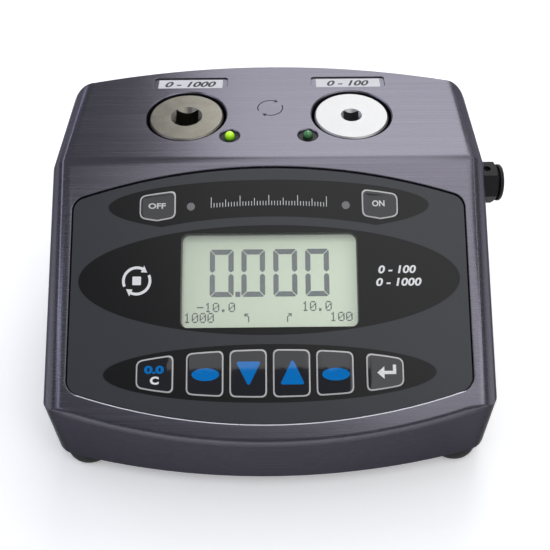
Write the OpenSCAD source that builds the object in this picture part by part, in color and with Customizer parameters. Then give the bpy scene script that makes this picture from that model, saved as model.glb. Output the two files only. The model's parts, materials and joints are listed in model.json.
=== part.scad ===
// Bench torque tester: a machined wedge housing with two square-drive transducers in its
// deck, a membrane panel with eight keys and a display on its slope, and rubber feet.
// Millimetres. X runs along the width, the panel faces -Y, Z is up.
// The origin is the centre of the bench holes, in the underside of the base plate.

/* [Housing] */
// Width of the housing
body_w = 177.8; // [170:0.1:220]
// Depth of the housing, between the middles of its curved front and rear walls
body_d = 158.8; // [145:0.1:200]
// Height of the deck above the underside of the base plate
body_h = 88; // [84:0.5:110]
// Depth of the flat deck, from the middle of the rear wall to the bend
deck_d = 66; // [62:0.5:80]
// Height of the front wall
apron_h = 25.4; // [23:0.1:32]
// Radius of the front wall, seen from above
front_arc_r = 310; // [240:5:600]
// Radius of the rear wall, seen from above
rear_arc_r = 280; // [240:5:600]
// Radius of the long top edges and of the upright corners
edge_r = 9.5; // [6:0.5:12]
// Radius between the deck and the slope
bend_r = 10; // [4:0.5:10]
// Radius between the slope and the front wall
brow_r = 4; // [2:0.5:6]
// Thickness of the side, front and rear walls
wall = 5; // [4:0.5:6]
// Thickness of the deck
deck_t = 8; // [6:0.5:10]
// Thickness of the slope under the panel recess
slope_t = 3.2; // [3:0.1:5]

/* [Drives] */
// Distance between the two drives
drive_pitch = 71; // [69:0.5:80]
// Distance of the drives from the middle of the rear wall
drive_inset = 36.7; // [35:0.1:42]
// Diameter of both drive heads
head_d = 31.8; // [30:0.1:34]
// Gap between a head and its hole in the deck
head_gap = 1.3; // [0.8:0.1:2]
// Depth of the heads below the deck
head_drop = 0.5; // [0:0.1:1]
// Width of the square in the large drive
large_square = 9.6; // [9.53:0.01:12.8]
// Width of the square in the small drive
small_square = 6.42; // [6.35:0.01:9.6]
// Depth of both squares
square_depth = 13; // [10:0.5:16]
// Diameter of the large gauge shaft
large_shaft_d = 18; // [14:0.5:22]
// Diameter of the small gauge shaft
small_shaft_d = 9; // [7:0.5:12]
// Diameter of the transducer flanges
flange_d = 52; // [46:1:54]
// Height of the transducer flanges
flange_h = 10; // [8:0.5:12]

/* [Panel] */
// Width of the panel recess
panel_w = 156.7; // [150:0.1:158]
// Distance down the slope from the bend to the top of the recess
panel_top = 3.3; // [2:0.1:5]
// Distance down the slope from the bend to the bottom of the recess
panel_bottom = 104.6; // [103:0.1:106]
// Radius of the top and bottom edges of the recess
panel_arc_r = 240; // [200:5:400]
// Corner radius of the recess
panel_corner_r = 6; // [3:0.5:8]
// Gap between the overlay and the recess
panel_gap = 0.6; // [0.4:0.05:0.8]
// How far the overlay sits below the middle of its recess
overlay_sag = 0.3; // [0:0.05:0.35]
// Depth of the overlay's face below the slope
overlay_drop = 0.2; // [0:0.05:0.4]
// Thickness of the overlay
overlay_t = 1; // [0.8:0.1:1.4]
// Thickness of the switch layer
circuit_t = 1; // [0.9:0.1:1.4]
// Width of the display window
window_w = 69.6; // [60:0.1:72]
// Height of the display window
window_h = 37.2; // [30:0.1:39]
// Distance down the slope from the bend to the middle of the window
window_v = 49.2; // [47:0.1:51]
// Width of a key
key_w = 14.6; // [12:0.1:15.5]
// Distance between the four inner keys
key_pitch = 16.7; // [16.2:0.1:17]
// Distance of the outer keys from the middle
outer_key_u = 44.3; // [43:0.1:45]
// Corner radius of a key
key_corner_r = 2.4; // [1:0.1:3]
// Gap round a key
key_gap = 0.12; // [0.1:0.01:0.2]
// Height of a key above the overlay
key_rise = 0.2; // [0.1:0.05:0.3]
// Travel of a key
key_travel = 0.4; // [0.3:0.05:0.45]

/* [Side knob] */
// Width across the flats of the knob
knob_af = 15.9; // [14:0.1:19]
// Length of the knob
knob_l = 11.3; // [10:0.1:14]
// Distance of the knob's axis behind the middle of the housing
knob_y = 25.4; // [22:0.1:30]
// Height of the knob's axis
knob_z = 63.3; // [45:0.1:66]
// Diameter of the selector's shaft
selector_shaft_d = 3.16; // [3:0.01:4]

/* [Base] */
// Thickness of the base plate
plate_t = 6; // [5:0.5:8]
// Diameter of a foot
foot_d = 20; // [16:0.5:22]
// Height of a foot
foot_h = 8; // [7:0.5:12]
// Distance of the feet from the middle, sideways
foot_x = 76; // [70:0.5:77]
// Distance of the front feet in front of the middle
foot_front = 60; // [54:0.5:61]
// Distance of the rear feet behind the middle
foot_rear = 57; // [50:0.5:58]
// Distance between the bench holes, sideways
bench_x = 150; // [140:1:152]
// Distance between the bench holes, front to back
bench_y = 80; // [70:1:84]
// Diameter of the bench holes, tapped for 6 mm screws
bench_hole_d = 5; // [4:0.1:6]

/* [Hidden] */
$fn = 64;

// A small overlap for clean cuts
eps = 0.05;
// How far a rounding laps over the straight it runs into
lap = 0.004;
// The gap between a screw and its hole, and between parts that slip together
slip = 0.1;

// Facets of the largest circles
fine = 480;

// Housing profile
bend_y = body_d / 2 - deck_d;
slope = atan((body_h - apron_h) / (body_d - deck_d));
drive_y = body_d / 2 - drive_inset;
hole_d = head_d + 2 * head_gap;
rim_chamfer = 0.5;
recess_depth = overlay_drop + overlay_t + circuit_t;
inner_depth = recess_depth + slope_t;

// Label pockets and labels, placed from the drives
pocket_size = [33, 8];
pocket_depth = 0.6;
pocket_y = drive_y + 24.3;
label_size = [28.9, 6.4];
label_t = 0.25;

// Lights
led_at = [16.3, drive_y - 14.35];
led_d = 4.1;
led_rise = 1.9;
led_l = 7.6;
led_flange_d = 5.2;
led_flange_t = 1;
led_flange_z = body_h + led_rise - led_l;
lead_w = 0.5;
lead_x = 1.27;
holder_d = 8.2;
holder_drop = 0.8;
holder_flange_t = 1;
led_rim_d = 9;
led_board_size = [40, 11, 1.6];
led_board_z = body_h - deck_t - 9.6;
led_boss_d = 6;
led_screw_x = 7;

// Panel outline curves, in slope coordinates: u across, v down from the bend
upper_band = [0, 19.7, 63.9, 10.9];
middle_band = [0, window_v - 0.1, 76.3, 21.7];
lower_band = [0, 85.4, 64.1, 11.1];
band_gap = 3.45;
upper_inset = 2.4;
lower_inset = 1.85;
window_corner_r = 2.8;
pane_margin = 2.6;
dome_d = 11;
dome_h = 0.5;
dome_skin = 0.15;
key_pocket = key_travel + 0.1;
tail_w = 12;
tail_t = 0.3;
tail_at = [20, 98.6];
slot_size = [14, 2.4];

// Display module, in slope coordinates
lcd_bezel_size = [84, 50, 6];
lcd_opening = [70.4, 38];
lcd_skin = 1;
lcd_glass_size = [76, 43, 2.2];
lcd_board_size = [92, 58, 1.6];
lcd_boss_d = 6.4;
// Chips under the display's board: place and size
lcd_chips = [[[0, 10], [18, 18, 1.5]], [[28, -8], [12, 12, 1.5]]];
lcd_screw_at = [42.8, 25.8];

// Base and screws
foot_shoulder = 3.2;
foot_screw_d = 5;
foot_screw_l = 19;
washer_t = 1;
foot_recess = 3.5;
post_r = 8;
rib_r = 5;
// How far the posts and ribs reach into the walls
post_reach = 15;
base_screw_d = 4;
base_screw_l = 14;
side_screw_x = 77;
front_screw_y = -body_d / 2 + 12;
rear_screw_y = body_d / 2 - 9;
base_screw_at = [[-side_screw_x, 0], [side_screw_x, 0], [0, front_screw_y], [0, rear_screw_y]];
foot_at = [
    [-foot_x, -foot_front], [foot_x, -foot_front],
    [-foot_x, foot_rear], [foot_x, foot_rear]
];

// Transducers
flange_screw_d = 5;
flange_screw_l = 13;
flange_pcd = 42;
neck_d = 26;
head_l = 22;
head_bevel = 0.6;
low_neck_z = plate_t + flange_h + 9;
high_neck_z = body_h - head_drop - head_l - 7;
gauge_z = (low_neck_z + high_neck_z) / 2;
shaft_l = 26;
gauge_l = 8;
gauge_t = 0.3;
drive_at = [[-drive_pitch / 2, drive_y], [drive_pitch / 2, drive_y]];

// Circuit board and battery
board_size = [66, 62, 1.6];
board_at = [4, -50];
standoff_h = 6;
board_hole_inset = 4;
// Chips, connector and buzzer on the main board: place and size
board_chips = [
    [[24, 24], [20, 20, 2.4]], [[48, 14], [12, 8, 2]], [[48, 34], [8, 10, 2]], [[10, 50], [34, 8, 7]]
];
tail_socket = [tail_w + 3, 5, 2.6];
buzzer_at = [8, 14];
buzzer_d = 7;
buzzer_h = 9;
cell_d = 14.5;
cell_l = 50.5;
cell_count = 4;
battery_at = [-62.5, -61];
clamp_t = 1.2;
clamp_w = 16;

// Side knob and selector
wall_x = body_w / 2;
knob_clearance = 0.4;
knob_hex_l = 9;
knob_groove_l = 0.8;
knob_groove_d = 12.4;
knob_disc_d = knob_af;
knob_recess_d = 11;
knob_recess_l = 3.4;
set_screw_d = 3.3;
set_screw_at = 4.3;
selector_d = 16;
selector_l = 12;
bushing_d = 6.3;
bushing_out = 2.6;
nut_af = 8;
nut_t = 2;

// Rear sockets, placed along the curved rear wall by angle
socket_angle = 6.6;
socket_z = 30;
jack_d = 8;
jack_l = 14;
jack_mouth_d = 5.6;
jack_pin_d = 2.1;
port_flange = [31, 12.6, 1];
port_shell = [17, 8.4, 6];
port_body = [19.4, 10.8, 9];
port_post_x = 12.5;
port_spot = 1.2;

// Colours
metal_dark = "#4d4c58";
steel = "#8f8a7e";
bright = "#d8d8d6";
black = "#1c1c1e";
board_green = "#2c5a3a";
zinc = "#b4b4b0";

function arc(c, r, a0, a1, n) = [for (i = [0:n]) c + r * [cos(a0 + (a1 - a0) * i / n), sin(a0 + (a1 - a0) * i / n)]];

// Height of the slope's plane at a distance y, moved in by a depth
function slope_z(y, depth) = body_h - depth / cos(slope) - (bend_y - y) * tan(slope);

// Height of an ellipse's edge above its middle at a distance u
function bow(band, inset, u) = (band[3] - inset) * sqrt(max(0, 1 - pow(u / (band[2] - inset), 2)));

// Keys: the v of their upper and lower edges at a distance u, which follow the bands
function key_top(row, u) = row == 0 ? upper_band[1] - bow(upper_band, upper_inset, u) : lower_band[1] - bow(lower_band, lower_inset, u);
function key_low(row, u) =
    row == 0
    ? min(upper_band[1] + bow(upper_band, upper_inset, u), middle_band[1] - bow(middle_band, 0, u) - band_gap - upper_inset)
    : lower_band[1] + bow(lower_band, lower_inset, u);

// One rounded corner of a key. side is -1 at the left and 1 at the right, up is 1 at the top.
function key_corner(row, u, side, up) =
    let (
        r = key_corner_r,
        cu = u - side * r,
        step = 0.1,
        v0 = up > 0 ? key_top(row, cu) : key_low(row, cu),
        v1 = up > 0 ? key_top(row, cu + step) : key_low(row, cu + step),
        m = (v1 - v0) / step,
        c = [cu, v0 + up * r * sqrt(1 + m * m)],
        a_side = side > 0 ? 0 : 180,
        a_edge = side > 0 ? atan2(-up, up * m) : (up > 0 ? 360 + atan2(-up, up * m) : atan2(-up, up * m))
    ) [for (i = [0:4]) let (a = a_side + (a_edge - a_side) * i / 4) c + r * [cos(a), sin(a)]];
function reversed(list) = [for (i = [len(list) - 1:-1:0]) list[i]];
function key_points(row, u) =
    let (
        u0 = u - key_w / 2,
        u1 = u + key_w / 2,
        n = 8,
        inner = [for (i = [1:n - 1]) u0 + key_corner_r + (key_w - 2 * key_corner_r) * i / n]
    ) [for (p = concat(
        key_corner(row, u0, -1, 1),
        [for (x = inner) [x, key_top(row, x)]],
        reversed(key_corner(row, u1, 1, 1)),
        key_corner(row, u1, 1, -1),
        [for (x = reversed(inner)) [x, key_low(row, x)]],
        reversed(key_corner(row, u0, -1, -1))
    )) [p[0], -p[1]]];

// Rows and places of the keys
key_places = [
    [0, -outer_key_u], [0, outer_key_u],
    [1, -outer_key_u], [1, -1.5 * key_pitch], [1, -0.5 * key_pitch],
    [1, 0.5 * key_pitch], [1, 1.5 * key_pitch], [1, outer_key_u]
];
function key_middle(k) =
    let (row = key_places[k][0], u = key_places[k][1]) [u, -(key_top(row, u) + key_low(row, u)) / 2];

// Places things on the slope: x across, y up the slope from the bend, z out of it
module on_slope() {
    translate([0, bend_y, body_h]) rotate([slope, 0, 0]) children();
}

// Places things on the curved rear wall at an angle: x across, y outwards, z up
module on_rear(angle) {
    translate([0, body_d / 2 - rear_arc_r, 0]) rotate([0, 0, angle]) translate([0, rear_arc_r, socket_z]) children();
}

// Places things on the right wall at the knob: z points outwards, x points down
module on_side() {
    translate([wall_x, knob_y, knob_z]) rotate([0, 90, 0]) children();
}

// A plate with straight sides and bowed ends, all its corners rounded: half width,
// [y, radius] of the lower and of the upper end, and the corner radius
module bowed_plate(hw, low, high, rc) {
    ends = [[-1, low], [1, high]];
    difference() {
        intersection() {
            translate([0, low[0] + low[1]]) circle(r = low[1], $fn = fine);
            translate([0, high[0] - high[1]]) circle(r = high[1], $fn = fine);
            translate([-hw, low[0] - 1]) square([2 * hw, high[0] - low[0] + 2]);
        }
        for (sx = [-1, 1], e = ends) polygon(corner_cut(sx, e[0], hw, e[1], rc));
    }
    for (sx = [-1, 1], e = ends) translate(corner_at(sx, e[0], hw, e[1], rc)) circle(r = rc + lap);
}

// A corner of such a plate: the angle at which its rounding meets the end, its middle, and
// the piece outside it. sx and up are -1 or 1 and say which corner it is.
function corner_lean(hw, end, rc) = asin((hw - rc) / (end[1] - rc));
function corner_at(sx, up, hw, end, rc) =
    [sx * (hw - rc), end[0] - up * (end[1] - (end[1] - rc) * cos(corner_lean(hw, end, rc)))];
function corner_cut(sx, up, hw, end, rc) =
    let (a = corner_lean(hw, end, rc), far = rc + 4)
    [for (p = [
        [rc, 0], [far, 0], [far, far], [far * sin(a), far * cos(a)],
        [rc * sin(a), rc * cos(a)], [rc / 2, rc / 2]
    ]) corner_at(sx, up, hw, end, rc) + [sx * p[0], up * p[1]]];

module body_plan(inset) {
    bowed_plate(
        body_w / 2 - inset,
        [-body_d / 2 + inset, front_arc_r - inset],
        [body_d / 2 - inset, rear_arc_r - inset],
        max(1, edge_r - inset)
    );
}

module panel_plan(grow) {
    bowed_plate(
        panel_w / 2 + grow,
        [-panel_bottom - grow, panel_arc_r + grow],
        [-panel_top + grow, panel_arc_r + grow],
        panel_corner_r + grow
    );
}

// What the long rounded edges take off: a bar with a hollow side, along Z, for the edge at
// x = body_w / 2 of a top that lies at y = 0
module edge_waste(side, l) {
    far = edge_r + 3;
    translate([side * (body_w / 2 - edge_r), -edge_r, -l / 2]) linear_extrude(l) difference() {
        polygon([[0, 0], [side * far, 0], [side * far, far], [0, far]]);
        circle(r = edge_r);
    }
}

// The brow between the slope and the front wall, as a disc on the slope's plane. The wall
// cuts that plane in an ellipse, and the disc's radius is the ellipse's at its middle.
module brow_disc() {
    disc_r = front_arc_r * cos(slope);
    edge_v = (bend_y + body_d / 2) / cos(slope);
    reach = brow_r * tan((90 - slope) / 2);
    deep = 2 * body_h;
    translate([0, disc_r - edge_v, 0]) rotate_extrude($fn = fine) polygon(concat(
        [[0, -deep], [0, 0]],
        arc([disc_r - reach, -brow_r], brow_r, 90, slope, 6),
        [[disc_r + deep * tan(slope), -deep]]
    ));
}

// What the rounding of the bend between the deck and the slope takes away
module bend_waste(l) {
    far = 2;
    middle = [bend_y + bend_r * tan(slope / 2), body_h - bend_r];
    translate([-l / 2, 0, 0]) rotate([90, 0, 90]) linear_extrude(l) difference() {
        polygon([for (p = [[90, -1], [90, far], [90 + slope / 2, far + 1], [90 + slope, far], [90 + slope, -1]])
            middle + (bend_r + p[1]) * [cos(p[0]), sin(p[0])]]);
        translate(middle) circle(r = bend_r + lap, $fn = 128);
    }
}

module body_outside() {
    reach = 4 * body_d;
    front_y = -body_d;
    difference() {
        intersection() {
            linear_extrude(body_h + 1) body_plan(0);
            translate([-body_w, 0, 0]) rotate([90, 0, 90]) linear_extrude(2 * body_w) polygon([
                [front_y, slope_z(front_y, 0) - 1], [body_d, slope_z(front_y, 0) - 1],
                [body_d, body_h], [bend_y, body_h], [front_y, slope_z(front_y, 0)]
            ]);
            on_slope() brow_disc();
        }
        for (side = [-1, 1]) {
            translate([0, 0, body_h]) rotate([90, 0, 0]) edge_waste(side, reach);
            on_slope() rotate([90, 0, 0]) edge_waste(side, reach);
        }
        bend_waste(2 * body_w);
    }
}

module rounded_rect(size, r) {
    w = size[0] / 2 - r;
    h = size[1] / 2 - r;
    polygon(concat(
        arc([w, -h], r, -90, 0, 6), arc([w, h], r, 0, 90, 6),
        arc([-w, h], r, 90, 180, 6), arc([-w, -h], r, 180, 270, 6)
    ));
}

module block(size, z = 0) {
    translate([-size[0] / 2, -size[1] / 2, z]) cube(size);
}

module tube(outer_d, inner_d, h) {
    difference() {
        cylinder(d = outer_d, h = h);
        translate([0, 0, -eps]) cylinder(d = inner_d, h = h + 2 * eps);
    }
}

// A countersunk screw along +Z with its head's face at z = 0
module flat_screw(d, l) {
    head_h = d / 2;
    difference() {
        union() {
            cylinder(d1 = 2 * d, d2 = d, h = head_h);
            translate([0, 0, head_h - eps]) cylinder(d = d, h = l - head_h + eps);
        }
        translate([0, 0, -eps]) cylinder(d = d * 0.62, h = d * 0.3, $fn = 6);
    }
}

// The clearance cut for the same screw through a plate
module flat_screw_cut(d, l) {
    translate([0, 0, -eps]) cylinder(d1 = 2 * d + 2 * slip, d2 = d + 2 * slip, h = d / 2 + slip);
    cylinder(d = d + 2 * slip, h = l);
}

// A pan head screw along +Z whose head lies below z = 0
module pan_screw(d, l, head_d, head_h) {
    difference() {
        union() {
            translate([0, 0, -eps]) cylinder(d = d, h = l + eps);
            translate([0, 0, -head_h]) cylinder(d = head_d, h = head_h);
        }
        translate([0, 0, -head_h - eps]) cylinder(d = d * 0.6, h = head_h * 0.6, $fn = 6);
    }
}

// Corner posts and ribs that the base plate is screwed to. They run up to the roof.
module posts() {
    for (p = foot_at) translate([p[0], p[1], 0]) {
        cylinder(r = post_r, h = body_h);
        translate([p[0] > 0 ? 0 : -post_reach, -post_r, 0]) cube([post_reach, 2 * post_r, body_h]);
    }
    for (p = base_screw_at) translate([p[0], p[1], 0]) {
        cylinder(r = rib_r, h = body_h);
        if (p[0] == 0) translate([-rib_r, p[1] > 0 ? 0 : -post_reach, 0]) cube([2 * rib_r, post_reach, body_h]);
        if (p[0] != 0) translate([p[0] > 0 ? 0 : -post_reach, -rib_r, 0]) cube([post_reach, 2 * rib_r, body_h]);
    }
}

module lcd_bosses() {
    for (sx = [-1, 1], sy = [-1, 1])
        translate([sx * lcd_screw_at[0], -window_v + sy * lcd_screw_at[1], -inner_depth - lcd_bezel_size[2]])
            cylinder(d = lcd_boss_d, h = lcd_bezel_size[2] + 1);
}

module led_bosses() {
    for (sx = [-1, 1]) translate([sx * led_screw_x, led_at[1], led_board_z + led_board_size[2]])
        cylinder(d = led_boss_d, h = body_h - led_board_z - led_board_size[2]);
}

// The hollow inside the housing, open below
module cavity() {
    top_z = body_h - deck_t;
    inner_bend = bend_y - (deck_t - inner_depth / cos(slope)) / tan(slope);
    front_y = -body_d;
    front_z = slope_z(front_y, inner_depth);
    translate([0, 0, -1]) linear_extrude(plate_t + 1) body_plan(wall);
    difference() {
        intersection() {
            translate([0, 0, -1]) linear_extrude(body_h) body_plan(wall);
            translate([-body_w / 2, 0, 0]) rotate([90, 0, 90]) linear_extrude(body_w)
                polygon([
                    [front_y, min(front_z, 0) - 2], [body_d, min(front_z, 0) - 2], [body_d, top_z],
                    [inner_bend, top_z], [front_y, front_z]
                ]);
        }
        translate([0, 0, plate_t]) posts();
        on_slope() lcd_bosses();
        led_bosses();
    }
}

// The recess for the panel
module panel_recess() {
    translate([0, 0, -recess_depth]) linear_extrude(recess_depth + 1) panel_plan(0);
}

module drive_holes() {
    for (p = drive_at) translate([p[0], p[1], body_h]) {
        translate([0, 0, -deck_t - 1]) cylinder(d = hole_d, h = deck_t + 2);
        translate([0, 0, -rim_chamfer]) cylinder(d1 = hole_d, d2 = hole_d + 4 * rim_chamfer, h = 2 * rim_chamfer);
    }
    for (sx = [-1, 1]) translate([sx * led_at[0], led_at[1], body_h]) {
        translate([0, 0, -deck_t - 1]) cylinder(d = holder_d, h = deck_t + 2);
        translate([0, 0, -(led_rim_d - holder_d) / 2])
            cylinder(d1 = holder_d, d2 = 2 * led_rim_d - holder_d, h = led_rim_d - holder_d);
    }
}

module label_pockets() {
    for (p = drive_at) translate([p[0], pocket_y, body_h - pocket_depth])
        linear_extrude(pocket_depth + 1) rounded_rect(pocket_size, 1.4);
}

module housing() {
    color(metal_dark) difference() {
        body_outside();
        cavity();
        on_slope() {
            panel_recess();
            translate([0, -window_v, -inner_depth - 1]) linear_extrude(slope_t + 2)
                rounded_rect([window_w, window_h], window_corner_r);
            translate([tail_at[0] - slot_size[0] / 2, -tail_at[1] - slot_size[1] / 2, -inner_depth - 1])
                cube([slot_size[0], slot_size[1], slope_t + 2]);
            for (sx = [-1, 1], sy = [-1, 1])
                translate([sx * lcd_screw_at[0], -window_v + sy * lcd_screw_at[1], -inner_depth - lcd_bezel_size[2] - 1])
                    cylinder(d = 2.5, h = 6);
        }
        drive_holes();
        label_pockets();
        for (sx = [-1, 1]) translate([sx * led_screw_x, led_at[1], led_board_z]) cylinder(d = 2.5, h = 7);
        for (p = foot_at) translate([p[0], p[1], 0]) cylinder(d = foot_screw_d, h = foot_screw_l - 1);
        for (p = base_screw_at) translate([p[0], p[1], 0]) cylinder(d = base_screw_d, h = base_screw_l + 1);
        on_side() translate([0, 0, -wall - 1]) cylinder(d = bushing_d + 2 * slip, h = wall + 2);
        on_rear(socket_angle) {
            translate([0, -port_spot + 5, 0]) block([port_flange[0] + 1, 10, port_flange[1] + 1], -port_flange[1] / 2 - 0.5);
            block([port_shell[0] + 0.6, 30, port_shell[1] + 0.6], -port_shell[1] / 2 - 0.3);
            for (sx = [-1, 1]) translate([sx * port_post_x, 1, 0]) rotate([90, 0, 0]) cylinder(d = 3, h = wall + 4);
        }
        on_rear(-socket_angle) translate([0, 1, 0]) rotate([90, 0, 0]) cylinder(d = jack_d + 2 * slip, h = wall + 4);
    }
}

module base_plate() {
    color(metal_dark) difference() {
        linear_extrude(plate_t) body_plan(wall + 0.15);
        for (p = foot_at) translate([p[0], p[1], -1]) cylinder(d = foot_screw_d + 0.5, h = plate_t + 2);
        for (p = base_screw_at) translate([p[0], p[1], 0]) flat_screw_cut(base_screw_d, plate_t + 1);
        for (p = drive_at, a = [45:90:315]) translate([p[0], p[1], 0]) rotate(a) translate([flange_pcd / 2, 0, 0])
            flat_screw_cut(flange_screw_d, plate_t + 1);
        for (sx = [-1, 1], sy = [-1, 1]) translate([sx * bench_x / 2, sy * bench_y / 2, -1])
            cylinder(d = bench_hole_d, h = plate_t + 2);
        for (p = board_holes()) translate([p[0], p[1], -1]) cylinder(d = 2.5, h = plate_t + 2);
        for (p = clamp_holes()) translate([p[0], p[1], -1]) cylinder(d = 2.5, h = plate_t + 2);
    }
}

module base_screws() {
    color(zinc) for (p = base_screw_at) translate([p[0], p[1], 0]) flat_screw(base_screw_d - slip, base_screw_l);
}

module foot(k) {
    r = foot_d / 2;
    low_r = 4;
    hole_r = foot_screw_d / 2 + 0.25;
    recess_r = 5;
    color(black) translate([foot_at[k][0], foot_at[k][1], 0]) rotate_extrude()
        polygon(concat(
            [[hole_r, 0], [hole_r, -foot_h + foot_recess], [recess_r, -foot_h + foot_recess], [recess_r, -foot_h]],
            arc([r - low_r, -foot_h + low_r], low_r, -90, 0, 8),
            [[r, -2.4], [r - 0.7, 0]]
        ));
}

module foot_washers() {
    color(zinc) for (p = foot_at) translate([p[0], p[1], -foot_h + foot_recess - washer_t]) tube(9.6, foot_screw_d + 0.4, washer_t);
}

module foot_screws() {
    seat = -foot_h + foot_recess - washer_t;
    color(zinc) for (p = foot_at) translate([p[0], p[1], seat]) pan_screw(foot_screw_d - slip, foot_screw_l, 8.6, 2);
}

// A transducer: a flange on the base plate, a thin gauge shaft, and a head with a square
module transducer(shaft_d, square) {
    top = body_h - head_drop;
    mouth_d = square * sqrt(2);
    difference() {
        rotate_extrude() polygon([
            [0, plate_t], [flange_d / 2, plate_t], [flange_d / 2, plate_t + flange_h],
            [neck_d / 2, plate_t + flange_h], [neck_d / 2, low_neck_z],
            [shaft_d / 2, gauge_z - shaft_l / 2], [shaft_d / 2, gauge_z + shaft_l / 2],
            [neck_d / 2, high_neck_z], [neck_d / 2, top - head_l], [head_d / 2, top - head_l],
            [head_d / 2, top - head_bevel], [head_d / 2 - head_bevel, top], [0, top]
        ]);
        translate([-square / 2, -square / 2, top - square_depth]) cube([square, square, square_depth + 1]);
        translate([0, 0, top - (mouth_d - square) / 2])
            cylinder(d1 = square, d2 = 2 * mouth_d - square, h = mouth_d - square);
        translate([0, 0, top - square_depth - 2]) cylinder(d = square - 1, h = 3);
        for (a = [45:90:315]) rotate(a) translate([flange_pcd / 2, 0, plate_t - 1]) cylinder(d = flange_screw_d, h = 10);
    }
}

module transducer_large() {
    color(steel) translate([drive_at[0][0], drive_at[0][1], 0]) transducer(large_shaft_d, large_square);
}

module transducer_small() {
    color(bright) translate([drive_at[1][0], drive_at[1][1], 0]) transducer(small_shaft_d, small_square);
}

module transducer_screws() {
    color(zinc) for (p = drive_at, a = [45:90:315]) translate([p[0], p[1], 0]) rotate(a)
        translate([flange_pcd / 2, 0, 0]) flat_screw(flange_screw_d - slip, flange_screw_l);
}

module strain_gauges() {
    color("#c98f3c") for (k = [0, 1], a = [0:90:270]) {
        r = (k == 0 ? large_shaft_d : small_shaft_d) / 2;
        translate([drive_at[k][0], drive_at[k][1], gauge_z - gauge_l / 2]) rotate(a) rotate_extrude(angle = 50)
            translate([r, 0]) square([gauge_t, gauge_l]);
    }
}

// A light: a clear lens with a round top on a flange, and two leads to its board
module led(side) {
    r = led_d / 2;
    lead_z = led_board_z + led_board_size[2];
    translate([side * led_at[0], led_at[1], 0]) {
        translate([0, 0, led_flange_z]) cylinder(d = led_flange_d, h = led_flange_t);
        translate([0, 0, led_flange_z]) cylinder(r = r, h = led_l - r);
        translate([0, 0, led_flange_z + led_l - r]) sphere(r = r);
        for (sx = [-1, 1]) translate([sx * lead_x, 0, 0]) block([lead_w, lead_w, led_flange_z - lead_z + eps], lead_z);
    }
}

module led_large() {
    color("#b8f000") led(-1);
}

module led_small() {
    color("#2f7a35") led(1);
}

module led_holders() {
    low = body_h - deck_t;
    color(black) for (sx = [-1, 1]) translate([sx * led_at[0], led_at[1], 0]) difference() {
        union() {
            translate([0, 0, low]) cylinder(d = holder_d - slip, h = deck_t - holder_drop);
            translate([0, 0, low - holder_flange_t]) cylinder(d = holder_d + 2, h = holder_flange_t);
        }
        translate([0, 0, low - 2]) cylinder(d = led_d + slip, h = deck_t + 4);
        translate([0, 0, low - 2]) cylinder(d = led_flange_d + slip, h = led_flange_z + led_flange_t + slip - low + 2);
    }
}

module led_board() {
    color(board_green) translate([0, led_at[1], led_board_z]) difference() {
        block(led_board_size);
        for (sx = [-1, 1]) translate([sx * led_screw_x, 0, -1]) cylinder(d = 2.8, h = 4);
    }
}

module led_board_screws() {
    color(zinc) for (sx = [-1, 1]) translate([sx * led_screw_x, led_at[1], led_board_z]) pan_screw(2.4, 6, 4.6, 1.4);
}

module label(side) {
    color("#f2f2ee") translate([side * drive_pitch / 2, pocket_y - 0.4, body_h - pocket_depth])
        block([label_size[0], label_size[1], label_t]);
}

module key_shape(k, grow = 0) {
    points = key_points(key_places[k][0], key_places[k][1]);
    middle = key_middle(k);
    w = key_w / 2;
    scale_by = (w + grow) / w;
    translate(middle) scale(scale_by) translate(-middle) polygon(points);
}

module window_shape(margin) {
    translate([0, -window_v]) rounded_rect([window_w + 2 * margin, window_h + 2 * margin], window_corner_r);
}

module overlay() {
    color("#3f4044") on_slope() translate([0, 0, -overlay_drop - overlay_t]) linear_extrude(overlay_t) difference() {
        translate([0, -overlay_sag]) panel_plan(-panel_gap);
        window_shape(0);
        for (k = [0:7]) key_shape(k, key_gap);
    }
}

module switch_layer() {
    color("#2a3a30") on_slope() translate([0, 0, -recess_depth]) difference() {
        linear_extrude(circuit_t) panel_plan(-panel_gap - overlay_sag - slip);
        translate([0, 0, -1]) linear_extrude(circuit_t + 2) window_shape(pane_margin + slip);
        for (k = [0:7]) {
            translate([0, 0, circuit_t - key_pocket]) linear_extrude(2) key_shape(k, 2 * key_gap);
            translate([key_middle(k)[0], key_middle(k)[1], -1]) cylinder(d = dome_d + 0.6, h = circuit_t + 2);
        }
        translate([tail_at[0] - slot_size[0] / 2, -tail_at[1] - slot_size[1] / 2, -1]) cube([slot_size[0], slot_size[1], circuit_t / 2 + 1]);
    }
}

// Metal snap domes under the keys: shallow caps that stand in the switch layer's wells
module key_domes() {
    r = dome_d / 2;
    bend = [r * 0.6, dome_h * 0.75];
    color(bright) on_slope() for (k = [0:7]) translate([key_middle(k)[0], key_middle(k)[1], -recess_depth])
        rotate_extrude() polygon([
            [r, 0], [r, dome_skin], bend, [0, dome_h], [0, dome_h - dome_skin],
            bend - [0, dome_skin], [r - dome_skin, 0]
        ]);
}

// The flat tail that runs from the switch layer through the slot to the circuit board
module keypad_tail() {
    c = cos(slope);
    s = sin(slope);
    depth = recess_depth - circuit_t / 2 + tail_t;
    start = [bend_y - tail_at[1] * c + depth * s, body_h - tail_at[1] * s - depth * c];
    through = start + [s, -c] * (slope_t + 2.5);
    lift = plate_t + standoff_h + board_size[2] + 1;
    end = [board_at[1] + 1.7, lift];
    path = [start, through, [through[0] + 0.5, lift + 3], [through[0] + 3.5, lift], end];
    color("#b8752c") translate([tail_at[0] - tail_w / 2, 0, 0]) rotate([90, 0, 90]) linear_extrude(tail_w)
        polygon(concat(path, reversed([for (p = path) p + [0.2, tail_t]])));
}

module window_pane() {
    color("#dfe6e0", 0.35) on_slope() translate([0, 0, -recess_depth]) linear_extrude(circuit_t)
        window_shape(pane_margin);
}

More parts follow.
